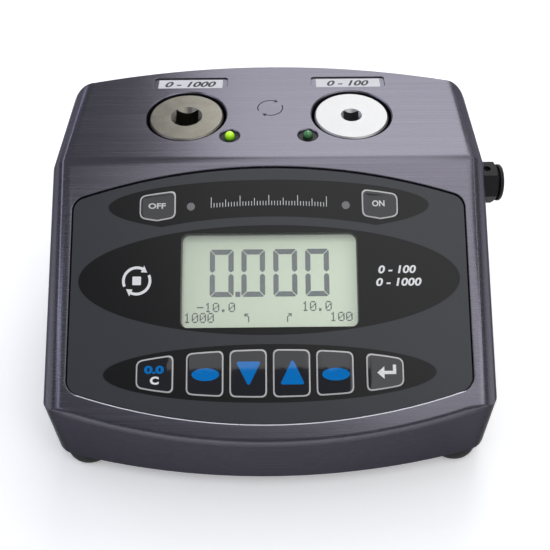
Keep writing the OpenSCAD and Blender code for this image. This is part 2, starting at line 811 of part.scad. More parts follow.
module key(k) {
    color("#303236") on_slope() translate([0, 0, -overlay_drop - overlay_t])
        linear_extrude(overlay_t + key_rise) key_shape(k);
}

// The display hangs from four bosses behind the window
module on_lcd(depth) {
    on_slope() translate([0, -window_v, -inner_depth - depth]) children();
}

module lcd_bezel() {
    size = lcd_bezel_size;
    color("#8e9089") on_lcd(size[2]) difference() {
        block(size);
        translate([0, 0, -1]) block([lcd_opening[0], lcd_opening[1], size[2] + 2]);
        block([lcd_glass_size[0] + 0.4, lcd_glass_size[1] + 0.4, size[2] - lcd_skin + eps], -eps);
        for (sx = [-1, 1], sy = [-1, 1]) translate([sx * lcd_screw_at[0], sy * lcd_screw_at[1], -1]) cylinder(d = 7, h = size[2] + 2);
    }
}

module lcd_glass() {
    color("#c9d6bd") on_lcd(lcd_skin + lcd_glass_size[2]) block(lcd_glass_size);
}

module lcd_backlight() {
    depth = lcd_bezel_size[2] - lcd_skin - lcd_glass_size[2];
    color("#e8eadf") on_lcd(lcd_bezel_size[2]) block([lcd_glass_size[0], lcd_glass_size[1], depth]);
}

module lcd_board() {
    color(board_green) on_lcd(lcd_bezel_size[2] + lcd_board_size[2]) difference() {
        union() {
            block(lcd_board_size);
            for (c = lcd_chips) translate([c[0][0], c[0][1], -c[1][2]]) block(c[1] + [0, 0, eps]);
        }
        for (sx = [-1, 1], sy = [-1, 1]) translate([sx * lcd_screw_at[0], sy * lcd_screw_at[1], -1]) cylinder(d = 2.8, h = 4);
    }
}

module lcd_screws() {
    color(zinc) on_lcd(lcd_bezel_size[2] + lcd_board_size[2]) for (sx = [-1, 1], sy = [-1, 1])
        translate([sx * lcd_screw_at[0], sy * lcd_screw_at[1], 0]) pan_screw(2.4, 5.5, 4.6, 1.4);
}

function board_holes() = [for (sx = [0, 1], sy = [0, 1]) [
    board_at[0] + board_hole_inset + sx * (board_size[0] - 2 * board_hole_inset),
    board_at[1] + board_hole_inset + sy * (board_size[1] - 2 * board_hole_inset)
]];

module main_board() {
    top = plate_t + standoff_h + board_size[2];
    color(board_green) difference() {
        union() {
            translate([board_at[0], board_at[1], plate_t + standoff_h]) cube(board_size);
            for (c = board_chips) translate([board_at[0] + c[0][0], board_at[1] + c[0][1], top - eps]) cube(c[1]);
            translate([tail_at[0] - tail_socket[0] / 2, board_at[1] + 2, top - eps]) cube(tail_socket);
            translate([board_at[0] + buzzer_at[0], board_at[1] + buzzer_at[1], top - eps]) cylinder(d = buzzer_d, h = buzzer_h);
        }
        for (p = board_holes()) translate([p[0], p[1], plate_t]) cylinder(d = 2.8, h = standoff_h + 4);
    }
}

module board_standoffs() {
    color("#c8a24a") for (p = board_holes()) translate([p[0], p[1], 0]) union() {
        translate([0, 0, plate_t]) tube(5.5, 2.5, standoff_h);
        translate([0, 0, plate_t - 4]) cylinder(d = 2.4, h = 4 + 1);
    }
}

module board_screws() {
    color(zinc) for (p = board_holes()) translate([p[0], p[1], plate_t + standoff_h + board_size[2]])
        mirror([0, 0, 1]) pan_screw(2.4, 5, 4.8, 1.6);
}

module battery_pack() {
    color("#3c6fa8") translate([battery_at[0], battery_at[1], plate_t]) for (i = [0:cell_count - 1])
        translate([cell_d * (i + 0.5), 0, cell_d / 2 + 0.02]) rotate([-90, 0, 0]) cylinder(d = cell_d + 0.02, h = cell_l);
}

function clamp_holes() = [for (sx = [-1, 1]) [
    battery_at[0] + cell_count * cell_d / 2 + sx * (cell_count * cell_d / 2 + 5), battery_at[1] + cell_l / 2
]];

module battery_clamp() {
    w = cell_count * cell_d;
    x0 = battery_at[0];
    color(zinc) difference() {
        translate([0, battery_at[1] + (cell_l + clamp_w) / 2, 0]) rotate([90, 0, 0]) linear_extrude(clamp_w) polygon([
            [x0 - 9, plate_t], [x0 - 0.2, plate_t], [x0 - 0.2, plate_t + cell_d + 0.2],
            [x0 + w + 0.2, plate_t + cell_d + 0.2], [x0 + w + 0.2, plate_t], [x0 + w + 9, plate_t],
            [x0 + w + 9, plate_t + clamp_t], [x0 + w + 0.2 + clamp_t, plate_t + clamp_t],
            [x0 + w + 0.2 + clamp_t, plate_t + cell_d + 0.2 + clamp_t],
            [x0 - 0.2 - clamp_t, plate_t + cell_d + 0.2 + clamp_t], [x0 - 0.2 - clamp_t, plate_t + clamp_t],
            [x0 - 9, plate_t + clamp_t]
        ]);
        for (p = clamp_holes()) translate([p[0], p[1], plate_t - 1]) cylinder(d = 2.8, h = 4);
    }
}

module battery_clamp_screws() {
    color(zinc) for (p = clamp_holes()) translate([p[0], p[1], plate_t + clamp_t]) mirror([0, 0, 1]) pan_screw(2.4, 6, 4.8, 1.6);
}

// The knob, turned from hexagon bar: hexagon, groove and round end
module side_knob() {
    hex_d = knob_af / cos(30);
    disc_z = knob_hex_l + knob_groove_l;
    disc_l = knob_l - disc_z;
    color(black) on_side() translate([0, 0, knob_clearance]) difference() {
        union() {
            intersection() {
                rotate(30) cylinder(d = hex_d, h = knob_hex_l, $fn = 6);
                union() {
                    cylinder(d = hex_d + 1, h = knob_hex_l - 1.2);
                    translate([0, 0, knob_hex_l - 1.2 - eps]) cylinder(d1 = hex_d + 0.2, d2 = knob_af - 1.2, h = 1.2 + eps);
                }
            }
            translate([0, 0, knob_hex_l - 1]) cylinder(d = knob_groove_d, h = knob_groove_l + 1.5);
            translate([0, 0, disc_z]) cylinder(d = knob_disc_d, h = disc_l - 0.5);
            translate([0, 0, disc_z + disc_l - 0.5 - eps]) cylinder(d1 = knob_disc_d, d2 = knob_disc_d - 1, h = 0.5 + eps);
        }
        translate([0, 0, -1]) cylinder(d = knob_recess_d, h = knob_recess_l + 1);
        cylinder(d = selector_shaft_d + 0.04, h = knob_hex_l);
        translate([0, 0, set_screw_at]) rotate([0, -90, 0]) cylinder(d = set_screw_d, h = knob_af);
    }
}

module knob_set_screw() {
    inner = selector_shaft_d / 2 + 0.02;
    outer = knob_af / 2 - 1.4;
    color("#3a3a3c") on_side() translate([0, 0, knob_clearance + set_screw_at]) rotate([0, -90, 0]) difference() {
        translate([0, 0, inner]) cylinder(d = set_screw_d - 0.04, h = outer - inner);
        translate([0, 0, outer - 1.6]) cylinder(d = 2, h = 2, $fn = 6);
    }
}

module selector_shaft() {
    color(zinc) on_side() translate([0, 0, -wall - selector_l + 2]) cylinder(d = selector_shaft_d, h = wall + selector_l + knob_clearance + knob_hex_l - 3);
}

module selector_switch() {
    color(black) on_side() translate([0, 0, -wall]) difference() {
        union() {
            translate([0, 0, -selector_l]) cylinder(d = selector_d, h = selector_l);
            cylinder(d = bushing_d, h = wall + bushing_out);
            for (a = [-30, 0, 30]) rotate(a) translate([-selector_d / 2 - 3, -0.8, -selector_l + 3]) cube([4, 1.6, 0.8]);
        }
        translate([0, 0, -selector_l + 1.5]) cylinder(d = selector_shaft_d + 0.1, h = selector_l + wall + bushing_out);
    }
}

module selector_nut() {
    color(zinc) on_side() difference() {
        cylinder(d = nut_af / cos(30), h = nut_t, $fn = 6);
        translate([0, 0, -1]) cylinder(d = bushing_d + slip, h = nut_t + 2);
    }
}

// The charger jack: a barrel through the rear wall with a centre pin
module charger_jack() {
    color(black) on_rear(-socket_angle) rotate([90, 0, 0]) difference() {
        union() {
            translate([0, 0, -1.6]) cylinder(d = jack_d + 4, h = 1.6);
            cylinder(d = jack_d, h = jack_l);
        }
        translate([0, 0, -2]) difference() {
            cylinder(d = jack_mouth_d, h = 11);
            translate([0, 0, 2]) cylinder(d = jack_pin_d, h = 11);
        }
    }
}

module charger_jack_nut() {
    color(zinc) on_rear(-socket_angle) translate([0, -wall - 0.6, 0]) rotate([90, 0, 0]) difference() {
        cylinder(d = 12, h = 2, $fn = 6);
        translate([0, 0, -1]) cylinder(d = jack_d + slip, h = 4);
    }
}

// The data port: a flange on a flat in the rear wall, with a tapered shell full of insulator
module data_port() {
    half = port_shell[0] / 2;
    high = port_shell[1] / 2;
    color(zinc) on_rear(socket_angle) difference() {
        union() {
            translate([0, port_flange[2] / 2 - port_spot, 0]) block([port_flange[0], port_flange[2], port_flange[1]], -port_flange[1] / 2);
            translate([0, port_shell[2] - port_spot, 0]) rotate([90, 0, 0]) linear_extrude(port_shell[2])
                polygon([[-half, high], [half, high], [half - 1.4, -high], [1.4 - half, -high]]);
            translate([0, -port_spot - port_body[2] / 2 + eps, 0]) block([port_shell[0], port_body[2], port_shell[1]], -port_shell[1] / 2);
        }
        for (sx = [-1, 1]) translate([sx * port_post_x, 5, 0]) rotate([90, 0, 0]) cylinder(d = 3, h = 10);
    }
}

module data_port_posts() {
    color(zinc) on_rear(socket_angle) for (sx = [-1, 1]) translate([sx * port_post_x, port_flange[2] - port_spot, 0]) {
        rotate([-90, 0, 0]) difference() {
            cylinder(d = 4.8 / cos(30), h = 4.6, $fn = 6);
            translate([0, 0, 1]) cylinder(d = 2.4, h = 5);
        }
        rotate([90, 0, 0]) cylinder(d = 2.8, h = 8);
    }
}

housing();
base_plate();
base_screws();
foot(0);  // foot_front_left
foot(1);  // foot_front_right
foot(2);  // foot_rear_left
foot(3);  // foot_rear_right
foot_washers();
foot_screws();
transducer_large();
transducer_small();
transducer_screws();
strain_gauges();
led_large();
led_small();
led_holders();
led_board();
led_board_screws();
label(-1);  // label_large
label(1);  // label_small
overlay();
switch_layer();
key_domes();
keypad_tail();
window_pane();
key(0);  // key_off
key(1);  // key_on
key(2);  // key_clear
key(3);  // key_left
key(4);  // key_down
key(5);  // key_up
key(6);  // key_right
key(7);  // key_enter
lcd_bezel();
lcd_glass();
lcd_backlight();
lcd_board();
lcd_screws();
main_board();
board_standoffs();
board_screws();
battery_pack();
battery_clamp();
battery_clamp_screws();
side_knob();
knob_set_screw();
selector_shaft();
selector_switch();
selector_nut();
charger_jack();
charger_jack_nut();
data_port();
data_port_posts();
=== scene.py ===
"""Looks of a bench torque tester: wedge housing, two square drives, membrane panel, display.

The axes are the CAD's: x runs along the width, the panel faces -y and z is up. On the slope, u runs
along x, v runs down the slope from the bend, w is minus v, and n stands out of the slope.
Numbers are in millimetres and degrees, and the functions that place points turn them into metres."""

import json
import math

import bmesh
import bpy
import numpy as np
from mathutils import Matrix, Vector


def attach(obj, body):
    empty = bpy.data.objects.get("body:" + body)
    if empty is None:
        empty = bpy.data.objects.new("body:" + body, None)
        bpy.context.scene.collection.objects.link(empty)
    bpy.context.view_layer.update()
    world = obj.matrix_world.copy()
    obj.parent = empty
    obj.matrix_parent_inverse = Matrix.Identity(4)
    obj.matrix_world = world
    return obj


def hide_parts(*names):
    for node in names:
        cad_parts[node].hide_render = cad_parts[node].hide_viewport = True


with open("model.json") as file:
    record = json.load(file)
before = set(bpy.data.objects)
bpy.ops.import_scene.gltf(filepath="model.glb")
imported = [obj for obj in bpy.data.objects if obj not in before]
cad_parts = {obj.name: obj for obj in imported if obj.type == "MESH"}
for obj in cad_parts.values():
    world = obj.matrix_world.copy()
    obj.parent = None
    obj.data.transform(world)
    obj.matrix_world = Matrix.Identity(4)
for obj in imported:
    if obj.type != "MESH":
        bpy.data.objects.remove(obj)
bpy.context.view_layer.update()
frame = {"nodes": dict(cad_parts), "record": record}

# Sizes in millimetres, as the frame has them
MM = 0.001
BODY_D, BODY_H = 158.8, 88.0
DECK_D, APRON_H = 66.0, 25.4
BEND_Y = BODY_D / 2 - DECK_D
SLOPE = math.atan((BODY_H - APRON_H) / (BODY_D - DECK_D))
SLOPE_COS, SLOPE_SIN = math.cos(SLOPE), math.sin(SLOPE)
OVERLAY_FACE = -0.2
WINDOW_W, WINDOW_H, WINDOW_V = 69.6, 37.2, 49.2
GLASS_FACE = -6.4
DRIVE_X, DRIVE_Y = 35.5, 42.7
DRIVES = ((-DRIVE_X, DRIVE_Y), (DRIVE_X, DRIVE_Y))
LIGHT_X, LIGHT_Y = (-16.3, 16.3), 28.35
LENS_FOOT, LENS_RISE = BODY_H - 0.6, 2.2
POCKET_Y, POCKET_DEPTH, LABEL_THICK = DRIVE_Y + 24.3, 0.6, 0.25
FLOOR_Z = -8.0

# The panel's bands: middle down the slope, half width, half height. The upper band keeps clear of the
# middle band, whose print is a little narrower
UPPER_BAND = (19.7, 63.9, 10.9)
MIDDLE_BAND = (49.1, 76.3, 21.7)
MIDDLE_PRINT = (49.1, 74.9, 21.7)
LOWER_BAND = (85.4, 64.1, 11.1)
BAND_GAP, BAND_EDGE_SOFT = 3.45, 0.1
# How far the keys keep inside the edges of their band
UPPER_INSET, LOWER_INSET = 2.4, 1.85
KEY_W, KEY_PITCH, OUTER_KEY_U, KEY_CORNER_R = 14.6, 16.7, 44.3, 2.4
# Each key's row, 0 for the upper and 1 for the lower, and the u of its middle
KEYS = {
    "key_off": (0, -OUTER_KEY_U),
    "key_on": (0, OUTER_KEY_U),
    "key_clear": (1, -OUTER_KEY_U),
    "key_left": (1, -1.5 * KEY_PITCH),
    "key_down": (1, -0.5 * KEY_PITCH),
    "key_up": (1, 0.5 * KEY_PITCH),
    "key_right": (1, 1.5 * KEY_PITCH),
    "key_enter": (1, OUTER_KEY_U),
}


def linear(code):
    """Linear colour of an sRGB code: c / 12.92 below 0.04045, ((c + 0.055) / 1.055) ** 2.4 above."""
    parts = [int(code[i : i + 2], 16) / 255 for i in (1, 3, 5)]
    return tuple(p / 12.92 if p < 0.04045 else ((p + 0.055) / 1.055) ** 2.4 for p in parts)


# Materials


class Wire:
    """An output socket of a material that can stand in a sum."""

    def __init__(self, look, socket):
        self.look, self.socket = look, socket

    def math(self, operation, *others, clamp=False):
        """A Math node whose first socket this wire feeds."""
        values = dict(enumerate((self,) + others))
        return self.look.node("ShaderNodeMath", {"operation": operation, "use_clamp": clamp}, values)

    def __add__(self, other):
        return self.math("ADD", other)

    def __sub__(self, other):
        return self.math("SUBTRACT", other)

    def __rsub__(self, other):
        return self.math("MULTIPLY_ADD", -1.0, other)

    def __mul__(self, other):
        return self.math("MULTIPLY", other)

    def __truediv__(self, other):
        return self.math("DIVIDE", other)

    def __pow__(self, other):
        return self.math("POWER", other)

    __radd__, __rmul__ = __add__, __mul__

    def clip(self):
        """Kept between 0 and 1."""
        return self.math("ADD", 0.0, clamp=True)


class Look:
    """A material with a principled shader whose sockets are filled in one by one."""

    def __init__(self, name, **constants):
        self.material = bpy.data.materials.new(name)
        self.material.use_nodes = True
        self.tree = self.material.node_tree
        self.tree.nodes.clear()
        output = self.tree.nodes.new("ShaderNodeOutputMaterial")
        self.shader = self.tree.nodes.new("ShaderNodeBsdfPrincipled")
        self.tree.links.new(self.shader.outputs[0], output.inputs[0])
        for socket, value in constants.items():
            self.set(socket.replace("_", " "), value)

    def fill(self, socket, value):
        """Gives a socket a wire, a number or a colour. Colours may leave out their alpha."""
        if isinstance(value, Wire):
            self.tree.links.new(value.socket, socket)
        elif isinstance(value, tuple) and len(value) == 3 and socket.type == "RGBA":
            socket.default_value = (*value, 1.0)
        else:
            socket.default_value = value

    def set(self, name, value):
        """Fills the shader's socket of that name."""
        self.fill(next(s for s in self.shader.inputs if s.name.lower() == name.lower()), value)

    def node(self, kind, settings=None, values=None, out=0):
        """Any other node: its settings first, then what its sockets hold, by name or number."""
        node = self.tree.nodes.new(kind)
        for key, value in (settings or {}).items():
            setattr(node, key, value)
        for key, value in (values or {}).items():
            self.fill(node.inputs[key], value)
        return Wire(self, node.outputs[out])

    def place(self):
        """The object's own x, y and z in millimetres."""
        where = self.node("ShaderNodeTexCoord", out=3)
        split = self.node("ShaderNodeSeparateXYZ", {}, {0: where}).socket.node
        return [Wire(self, split.outputs[i]) * (1 / MM) for i in range(3)]

    def point(self, x, y, z):
        """A vector of three wires or numbers."""
        return self.node("ShaderNodeCombineXYZ", {}, {0: x, 1: y, 2: z})

    def noise(self, place, per_mm, detail, rough):
        """Noise over three wires or numbers. per_mm is how fine it is: one number, or one for each."""
        scales = per_mm if isinstance(per_mm, tuple) else (per_mm,) * 3
        point = self.point(*(wire * scale for wire, scale in zip(place, scales)))
        values = {"Vector": point, "Scale": 1.0, "Detail": detail, "Roughness": rough}
        return self.node("ShaderNodeTexNoise", {}, values)

    def mix(self, factor, a, b):
        """Colour a where the factor is 0, and b where it is 1."""
        return self.node("ShaderNodeMix", {"data_type": "RGBA"}, {0: factor, 6: a, 7: b}, out=2)

    def shade(self, colour, factor):
        """A colour times a grey wire."""
        grey = self.point(factor, factor, factor)
        settings = {"data_type": "RGBA", "blend_type": "MULTIPLY"}
        return self.node("ShaderNodeMix", settings, {0: 1.0, 6: colour, 7: grey}, out=2)

    def bump(self, height, depth_mm):
        """Relief: a height of 1 stands depth_mm proud."""
        values = {"Strength": 1.0, "Distance": depth_mm * MM, "Height": height}
        self.set("Normal", self.node("ShaderNodeBump", {}, values))


def facing(look):
    """How far the surface faces along x, either way, and along z, either way: 0 to 1 each."""
    normal = look.node("ShaderNodeNewGeometry", out=1)
    split = look.node("ShaderNodeSeparateXYZ", {}, {0: normal}).socket.node
    return [Wire(look, split.outputs[i]).math("ABSOLUTE") for i in (0, 2)]


def anodised_look(name, colour):
    """Dark anodising over a brushed surface: hair lines along x, or along y on the sides. The upright
    walls get painted shade: their colour is darkened by how upright they face."""
    look = Look(name, metallic=0.82, specular_ior_level=0.5, specular_tint=(0.2, 0.2, 0.22))
    x, y, z = look.place()
    across, upward = facing(look)
    side = ((across - 0.75) * 8.0).clip()
    # Painted shade: the more upright a face, the darker its colour
    wall = ((0.55 - upward) * 4.0).clip()
    run = x + (y - x) * side
    cross = y * (1.0 - side)
    broad = look.noise((run, cross, z), (0.004, 2.4, 2.4), 4.0, 0.6)
    hair = look.noise((run, cross, z), (0.014, 9.0, 9.0), 3.0, 0.6)
    grit = look.noise((x, y, z), 2.4, 2.0, 0.6)
    tone = 1.0 + (broad - 0.5) * 0.5 + (hair - 0.5) * 0.5 + (grit - 0.5) * 0.24
    look.set("Base Color", look.shade(colour, tone * (1.0 - wall * 0.42)))
    look.set("Roughness", (0.25 + (hair - 0.5) * 0.16 + (broad - 0.5) * 0.1).clip())
    look.bump(hair * 0.5 + broad * 0.5, 0.01)
    return look.material


def steel_look(name, colour, roughness, pitted, centres=()):
    """Bare or plated steel: lathe rings round the given centres and faint stains."""
    look = Look(name, metallic=1.0)
    x, y, z = look.place()
    stain = look.noise((x, y, z), 0.16, 5.0, 0.65)
    speck = look.noise((x, y, z), 1.1, 3.0, 0.6)
    tone = 1.0 + (stain - 0.5) * (pitted * 1.6) + (speck - 0.5) * (pitted * 0.5)
    rough = roughness + (speck - 0.5) * 0.1 + (stain - 0.5) * 0.2
    height = speck * 0.2 + stain * 2.0
    for cx, cy in centres:
        dx, dy = x - cx, y - cy
        ring = (dx * dx + dy * dy) ** 0.5
        line = look.noise((ring, 0.0, 0.0), 3.0, 2.0, 0.5)
        rough = rough + (line - 0.5) * 0.12
        height = height + line
    look.set("Base Color", look.shade(colour, tone))
    look.set("Roughness", rough.clip())
    look.bump(height, 0.004)
    return look.material


def plain_look(name, colour, roughness, metallic=0.0, mottle=0.08, depth=0.01, **constants):
    """Moulded, painted or plated stuff with a slight mottle and a fine relief."""
    look = Look(name, metallic=metallic, **constants)
    place = look.place()
    cloud = look.noise(place, 0.12, 4.0, 0.6)
    grain = look.noise(place, 0.9, 3.0, 0.6)
    look.set("Base Color", look.shade(colour, 1.0 + (cloud - 0.5) * mottle + (grain - 0.5) * mottle))
    look.set("Roughness", (roughness + (grain - 0.5) * 0.12 + (cloud - 0.5) * 0.06).clip())
    look.bump(grain, depth)
    return look.material


def down_slope(y, z):
    """v of a place with this y and z, for wires, numbers and arrays."""
    return (BEND_Y - y) * SLOPE_COS + (BODY_H - z) * SLOPE_SIN


def inside_band(u, v, band, grow=0.0):
    """1 inside the ellipse (u / a)^2 + ((v - middle) / b)^2 < 1, with a slightly soft edge."""
    middle, a, b = band[0], band[1] + grow, band[2] + grow
    du, dv = u / a, (v - middle) / b
    return ((1.0 - (du * du + dv * dv) ** 0.5) * (b / BAND_EDGE_SOFT) + 0.5).clip()


def overlay_look():
    """The printed film: a dark grey field with three black bands, the upper one cut by the middle."""
    look = Look("overlay_print", specular_ior_level=0.3)
    x, y, z = look.place()
    v = down_slope(y, z)
    middle = inside_band(x, v, MIDDLE_PRINT)
    upper = inside_band(x, v, UPPER_BAND) * (1.0 - inside_band(x, v, MIDDLE_BAND, BAND_GAP))
    lower = inside_band(x, v, LOWER_BAND)
    black = (middle + upper + lower).clip()
    cloud = look.noise((x, y, z), 0.05, 3.0, 0.5)
    grain = look.noise((x, y, z), 3.0, 2.0, 0.6)
    tone = 1.0 + (cloud - 0.5) * 0.12 + (grain - 0.5) * 0.1
    field = look.shade(linear("#3c3e42"), tone)
    band = look.shade(linear("#0b0b0c"), tone)
    look.set("Base Color", look.mix(black, field, band))
    look.set("Roughness", 0.33 + (grain - 0.5) * 0.08)
    look.bump(grain, 0.004)
    return look.material


def key_look():
    """A key's film: a silver line along its rim, smoke black within. rim_mm is the way in from the rim,
    and the line's edges fade over a twelfth of a millimetre."""
    line_from, line_to, fade = 0.08, 0.72, 1 / 12
    look = Look("key_film", specular_ior_level=0.5)
    rim = look.node("ShaderNodeAttribute", {"attribute_name": "rim_mm"}, out=2)
    line = ((rim - line_from) * (1 / fade)).clip() * ((line_to - rim) * (1 / fade)).clip()
    grain = look.noise(look.place(), 2.0, 2.0, 0.6)
    body = look.shade(linear("#26272b"), 1.0 + (grain - 0.5) * 0.1)
    look.set("Base Color", look.mix(line, body, linear("#c6c4c2")))
    look.set("Roughness", 0.03 + line * 0.25 + (grain - 0.5) * 0.02)
    look.bump(grain, 0.0005)
    return look.material


def glow_look(name, foot, top, strength):
    """A light's lens: tinted plastic, darker at its foot than at its top."""
    look = Look(name, roughness=0.18, coat_weight=0.6, coat_roughness=0.05)
    x, y, z = look.place()
    height = ((z - LENS_FOOT) / LENS_RISE).clip()
    cloud = look.noise((x, y, z), 1.5, 2.0, 0.5)
    tint = look.mix(height, foot, top)
    look.set("Base Color", look.shade(tint, 1.0 + (cloud - 0.5) * 0.1))
    look.set("Emission Color", tint)
    look.set("Emission Strength", strength)
    return look.material


def display_look():
    """The display's pale green-grey face. It glows, as painted light that lifts the shade of the window's
    walls; painted shade darkens it towards its left, and a painted shadow lies under the window's upper
    edge and along its left edge."""
    look = Look("display_face", roughness=0.5, specular_ior_level=0.3, emission_strength=1.0)
    x, y, z = look.place()
    top, left = WINDOW_V - WINDOW_H / 2, -WINDOW_W / 2
    # Painted shadow under the window's upper edge and along its left edge
    shade = ((down_slope(y, z) - top) / 3.0).clip() * ((x - left) / 2.0 + 0.35).clip()
    dots = look.noise((x, y, z), 4.0, 1.0, 0.5)
    # Painted shade: darker towards the left
    even = 0.84 + ((x + 34.0) / 60.0).clip() * 0.16
    tone = (0.54 + shade * 0.46) * even + (dots - 0.5) * 0.03
    look.set("Base Color", look.shade(linear("#b7c1ad"), tone))
    # Painted light: the glow carries the same painted shade and shadow
    look.set("Emission Color", look.shade(linear("#949d8c"), tone))
    return look.material


def window_look():
    """Clear plastic: mostly open, with a faint gloss."""
    look = Look("window_clear", base_color=(0.9, 0.95, 0.9), roughness=0.06, specular_ior_level=0.5)
    look.set("Alpha", 0.08 + look.noise(look.place(), 0.06, 3.0, 0.5) * 0.06)
    return look.material


ANODISED = anodised_look("anodised_brushed", linear("#6b6972"))
NICKEL = steel_look("nickel_plate", linear("#7b786f"), 0.34, 0.5, DRIVES[:1])
BRIGHT = steel_look("bright_steel", linear("#a9a9aa"), 0.42, 0.2, DRIVES[1:])
# Painted highlight: a bright bare-metal colour for the housing's rounded edges low on the recess and round
# the bores, where light catches them
EDGE_HIGHLIGHT = steel_look("edge_highlight", linear("#b2b2ba"), 0.3, 0.2)
ZINC = steel_look("zinc_plate", linear("#c3c5c6"), 0.34, 0.2)
BRASS = steel_look("brass_turned", linear("#c9a558"), 0.3, 0.2)
RUBBER = plain_look("foot_rubber", linear("#1a1a1b"), 0.78, mottle=0.2, depth=0.03)
BLACK_METAL = plain_look(
    "black_oxide", linear("#1e1e20"), 0.6, mottle=0.14, depth=0.012, specular_ior_level=0.25
)
BLACK_PLASTIC = plain_look("black_plastic", linear("#101012"), 0.5, mottle=0.14, specular_ior_level=0.3)
BOARD = plain_look("circuit_board", linear("#245a37"), 0.45, mottle=0.16)
FOIL = plain_look("amber_foil", linear("#c08435"), 0.35, mottle=0.12)
SLEEVE = plain_look("cell_sleeve", linear("#2f5f9c"), 0.3, mottle=0.1)
DIFFUSER = plain_look("milky_diffuser", linear("#e6e7dd"), 0.5, mottle=0.04)
LABEL = plain_look("label_white", linear("#d0d0d4"), 0.55, mottle=0.05, depth=0.004)
OVERLAY = overlay_look()
KEY_FILM = key_look()
LIT_LENS = glow_look("lens_lit", linear("#54a008"), linear("#b4ee00"), 0.38)
# The unlit lens glows faintly too: painted light in a lamp that is off
DIM_LENS = glow_look("lens_unlit", linear("#1f4a25"), linear("#3a8545"), 0.06)
DISPLAY = display_look()
CLEAR = window_look()
WHITE_INK = plain_look("white_ink", linear("#f2f2f2"), 0.5, mottle=0.03, depth=0.001)
SILVER_INK = plain_look("silver_ink", linear("#cfcfcf"), 0.4, metallic=0.15, mottle=0.06, depth=0.001)
GREY_INK = plain_look("grey_ink", linear("#7b7b7c"), 0.5, mottle=0.05, depth=0.001)
BLUE_INK = plain_look("blue_ink", linear("#0079ca"), 0.03, mottle=0.05, depth=0.0005)
DARK_INK = plain_look("dark_ink", linear("#26262a"), 0.6, mottle=0.05, depth=0.001)
SEGMENT = plain_look("display_segment", linear("#575d65"), 0.55, mottle=0.03, depth=0.001)
SMALL_SEGMENT = plain_look("display_small_segment", linear("#383e40"), 0.55, mottle=0.03, depth=0.001)
ENGRAVED = plain_look("engraved_line", linear("#35333f"), 0.6, metallic=0.5, mottle=0.1, depth=0.004)

FINISHES = {
    "anodised": ANODISED,
    "nickel": NICKEL,
    "bright_steel": BRIGHT,
    "zinc": ZINC,
    "rubber": RUBBER,
    "black_plastic": BLACK_PLASTIC,
    "black_metal": BLACK_METAL,
    "lens_green": LIT_LENS,
    "lens_dim": DIM_LENS,
    "label_white": LABEL,
    "overlay_film": OVERLAY,
    "key_film": KEY_FILM,
    "window": CLEAR,
    "lcd": DISPLAY,
    "diffuser": DIFFUSER,
    "pcb": BOARD,
    "brass": BRASS,
    "gauge_foil": FOIL,
    "cell_sleeve": SLEEVE,
}
SLOTS = {part["node"]: part["material_slot"] for part in frame["record"]["subparts"]}
BODIES = {n: body for body, nodes in frame["record"]["behaviour"]["bodies"].items() for n in nodes}

for node, cad in frame["nodes"].items():
    cad.data.materials.clear()
    cad.data.materials.append(FINISHES[SLOTS[node]])


# Shapes

# Points nearer than this, in metres, are one point of the CAD's mesh, or of a sign's
SAME_CAD_POINT, SAME_SIGN_POINT = 2e-7, 1e-7
# A round piece's mesh shows an edge where it folds by this many degrees or more
SHARP_FOLD = 28
SIGN_THICK = 0.03


def on_slope(u, v, n):
    """Point of the slope in metres: u along x, v down the slope from the bend, n out of it."""
    u, v, n = np.broadcast_arrays(np.asarray(u, float), v, n)
    y = BEND_Y - v * SLOPE_COS - n * SLOPE_SIN
    z = BODY_H - v * SLOPE_SIN + n * SLOPE_COS
    return np.stack([u, y, z], axis=-1) * MM


def on_deck(x, y, z):
    """Point of the deck in metres, z above the deck."""
    x, y, z = np.broadcast_arrays(np.asarray(x, float), y, z)
    return np.stack([x, y, BODY_H + z], axis=-1) * MM


def put(name, data):
    """A new object in the scene."""
    made = bpy.data.objects.new(name, data)
    bpy.context.scene.collection.objects.link(made)
    return made


def surface(name, points, faces, material, smooth):
    """An object whose mesh has these points, in metres, and these faces, which are lists of points."""
    mesh = bpy.data.meshes.new(name)
    mesh.from_pydata(np.asarray(points).reshape(-1, 3).tolist(), [], [list(map(int, f)) for f in faces])
    mesh.materials.append(material)
    mesh.polygons.foreach_set("use_smooth", np.full(len(mesh.polygons), smooth))
    mesh.update()
    return put(name, mesh)


def piece(name, points, faces, body, material, replaces=(), smooth=False):
    """A surface that rides on a body."""
    made = surface(name, points, faces, material, smooth)
    if replaces:
        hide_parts(*replaces)
    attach(made, body)
    return made


def ring_faces(count, rings):
    """Quads between neighbouring rings of count points, where ring k starts at point k * count."""
    i = np.arange(count)
    j = (i + 1) % count
    quads = np.stack([i, j, count + j, count + i], axis=1)
    return [quad for k in range(rings - 1) for quad in quads + k * count]


def prisms(outlines, low, high, place):
    """Flat shapes with a thickness: each outline, counter-clockwise in its own plane, is placed at
    a low and a high level, with a cap on each and a wall between them."""
    points, faces, base = [], [], 0
    for outline in outlines:
        o = np.asarray(outline, float)
        area = np.sum(o[:, 0] * np.roll(o[:, 1], -1) - np.roll(o[:, 0], -1) * o[:, 1])
        if area < 0:
            o = o[::-1]
        n = len(o)
        points += [place(o[:, 0], o[:, 1], low), place(o[:, 0], o[:, 1], high)]
        i = np.arange(n)
        faces += [base + i[::-1], base + n + i]
        faces += [base + quad for quad in ring_faces(n, 2)]
        base += 2 * n
    return np.concatenate(points), faces


def slope_print(u, w, n):
    """Places a flat shape on the slope with its own y, here w, pointing up the slope."""
    return on_slope(u, -np.asarray(w), n)


def decal(name, outlines, level, body, material, place=slope_print, thick=SIGN_THICK):
    """A printed sign: its outlines as thin prisms that start at a level."""
    points, faces = prisms(outlines, level, level + thick, place)
    piece(name, points, faces, body, material)


def ellipse(cu, cw, a, b, n=48):
    """Points (cu + a cos t, cw + b sin t) for n even steps of t."""
    t = np.arange(n) * 2 * np.pi / n
    return np.stack([cu + a * np.cos(t), cw + b * np.sin(t)], axis=1)


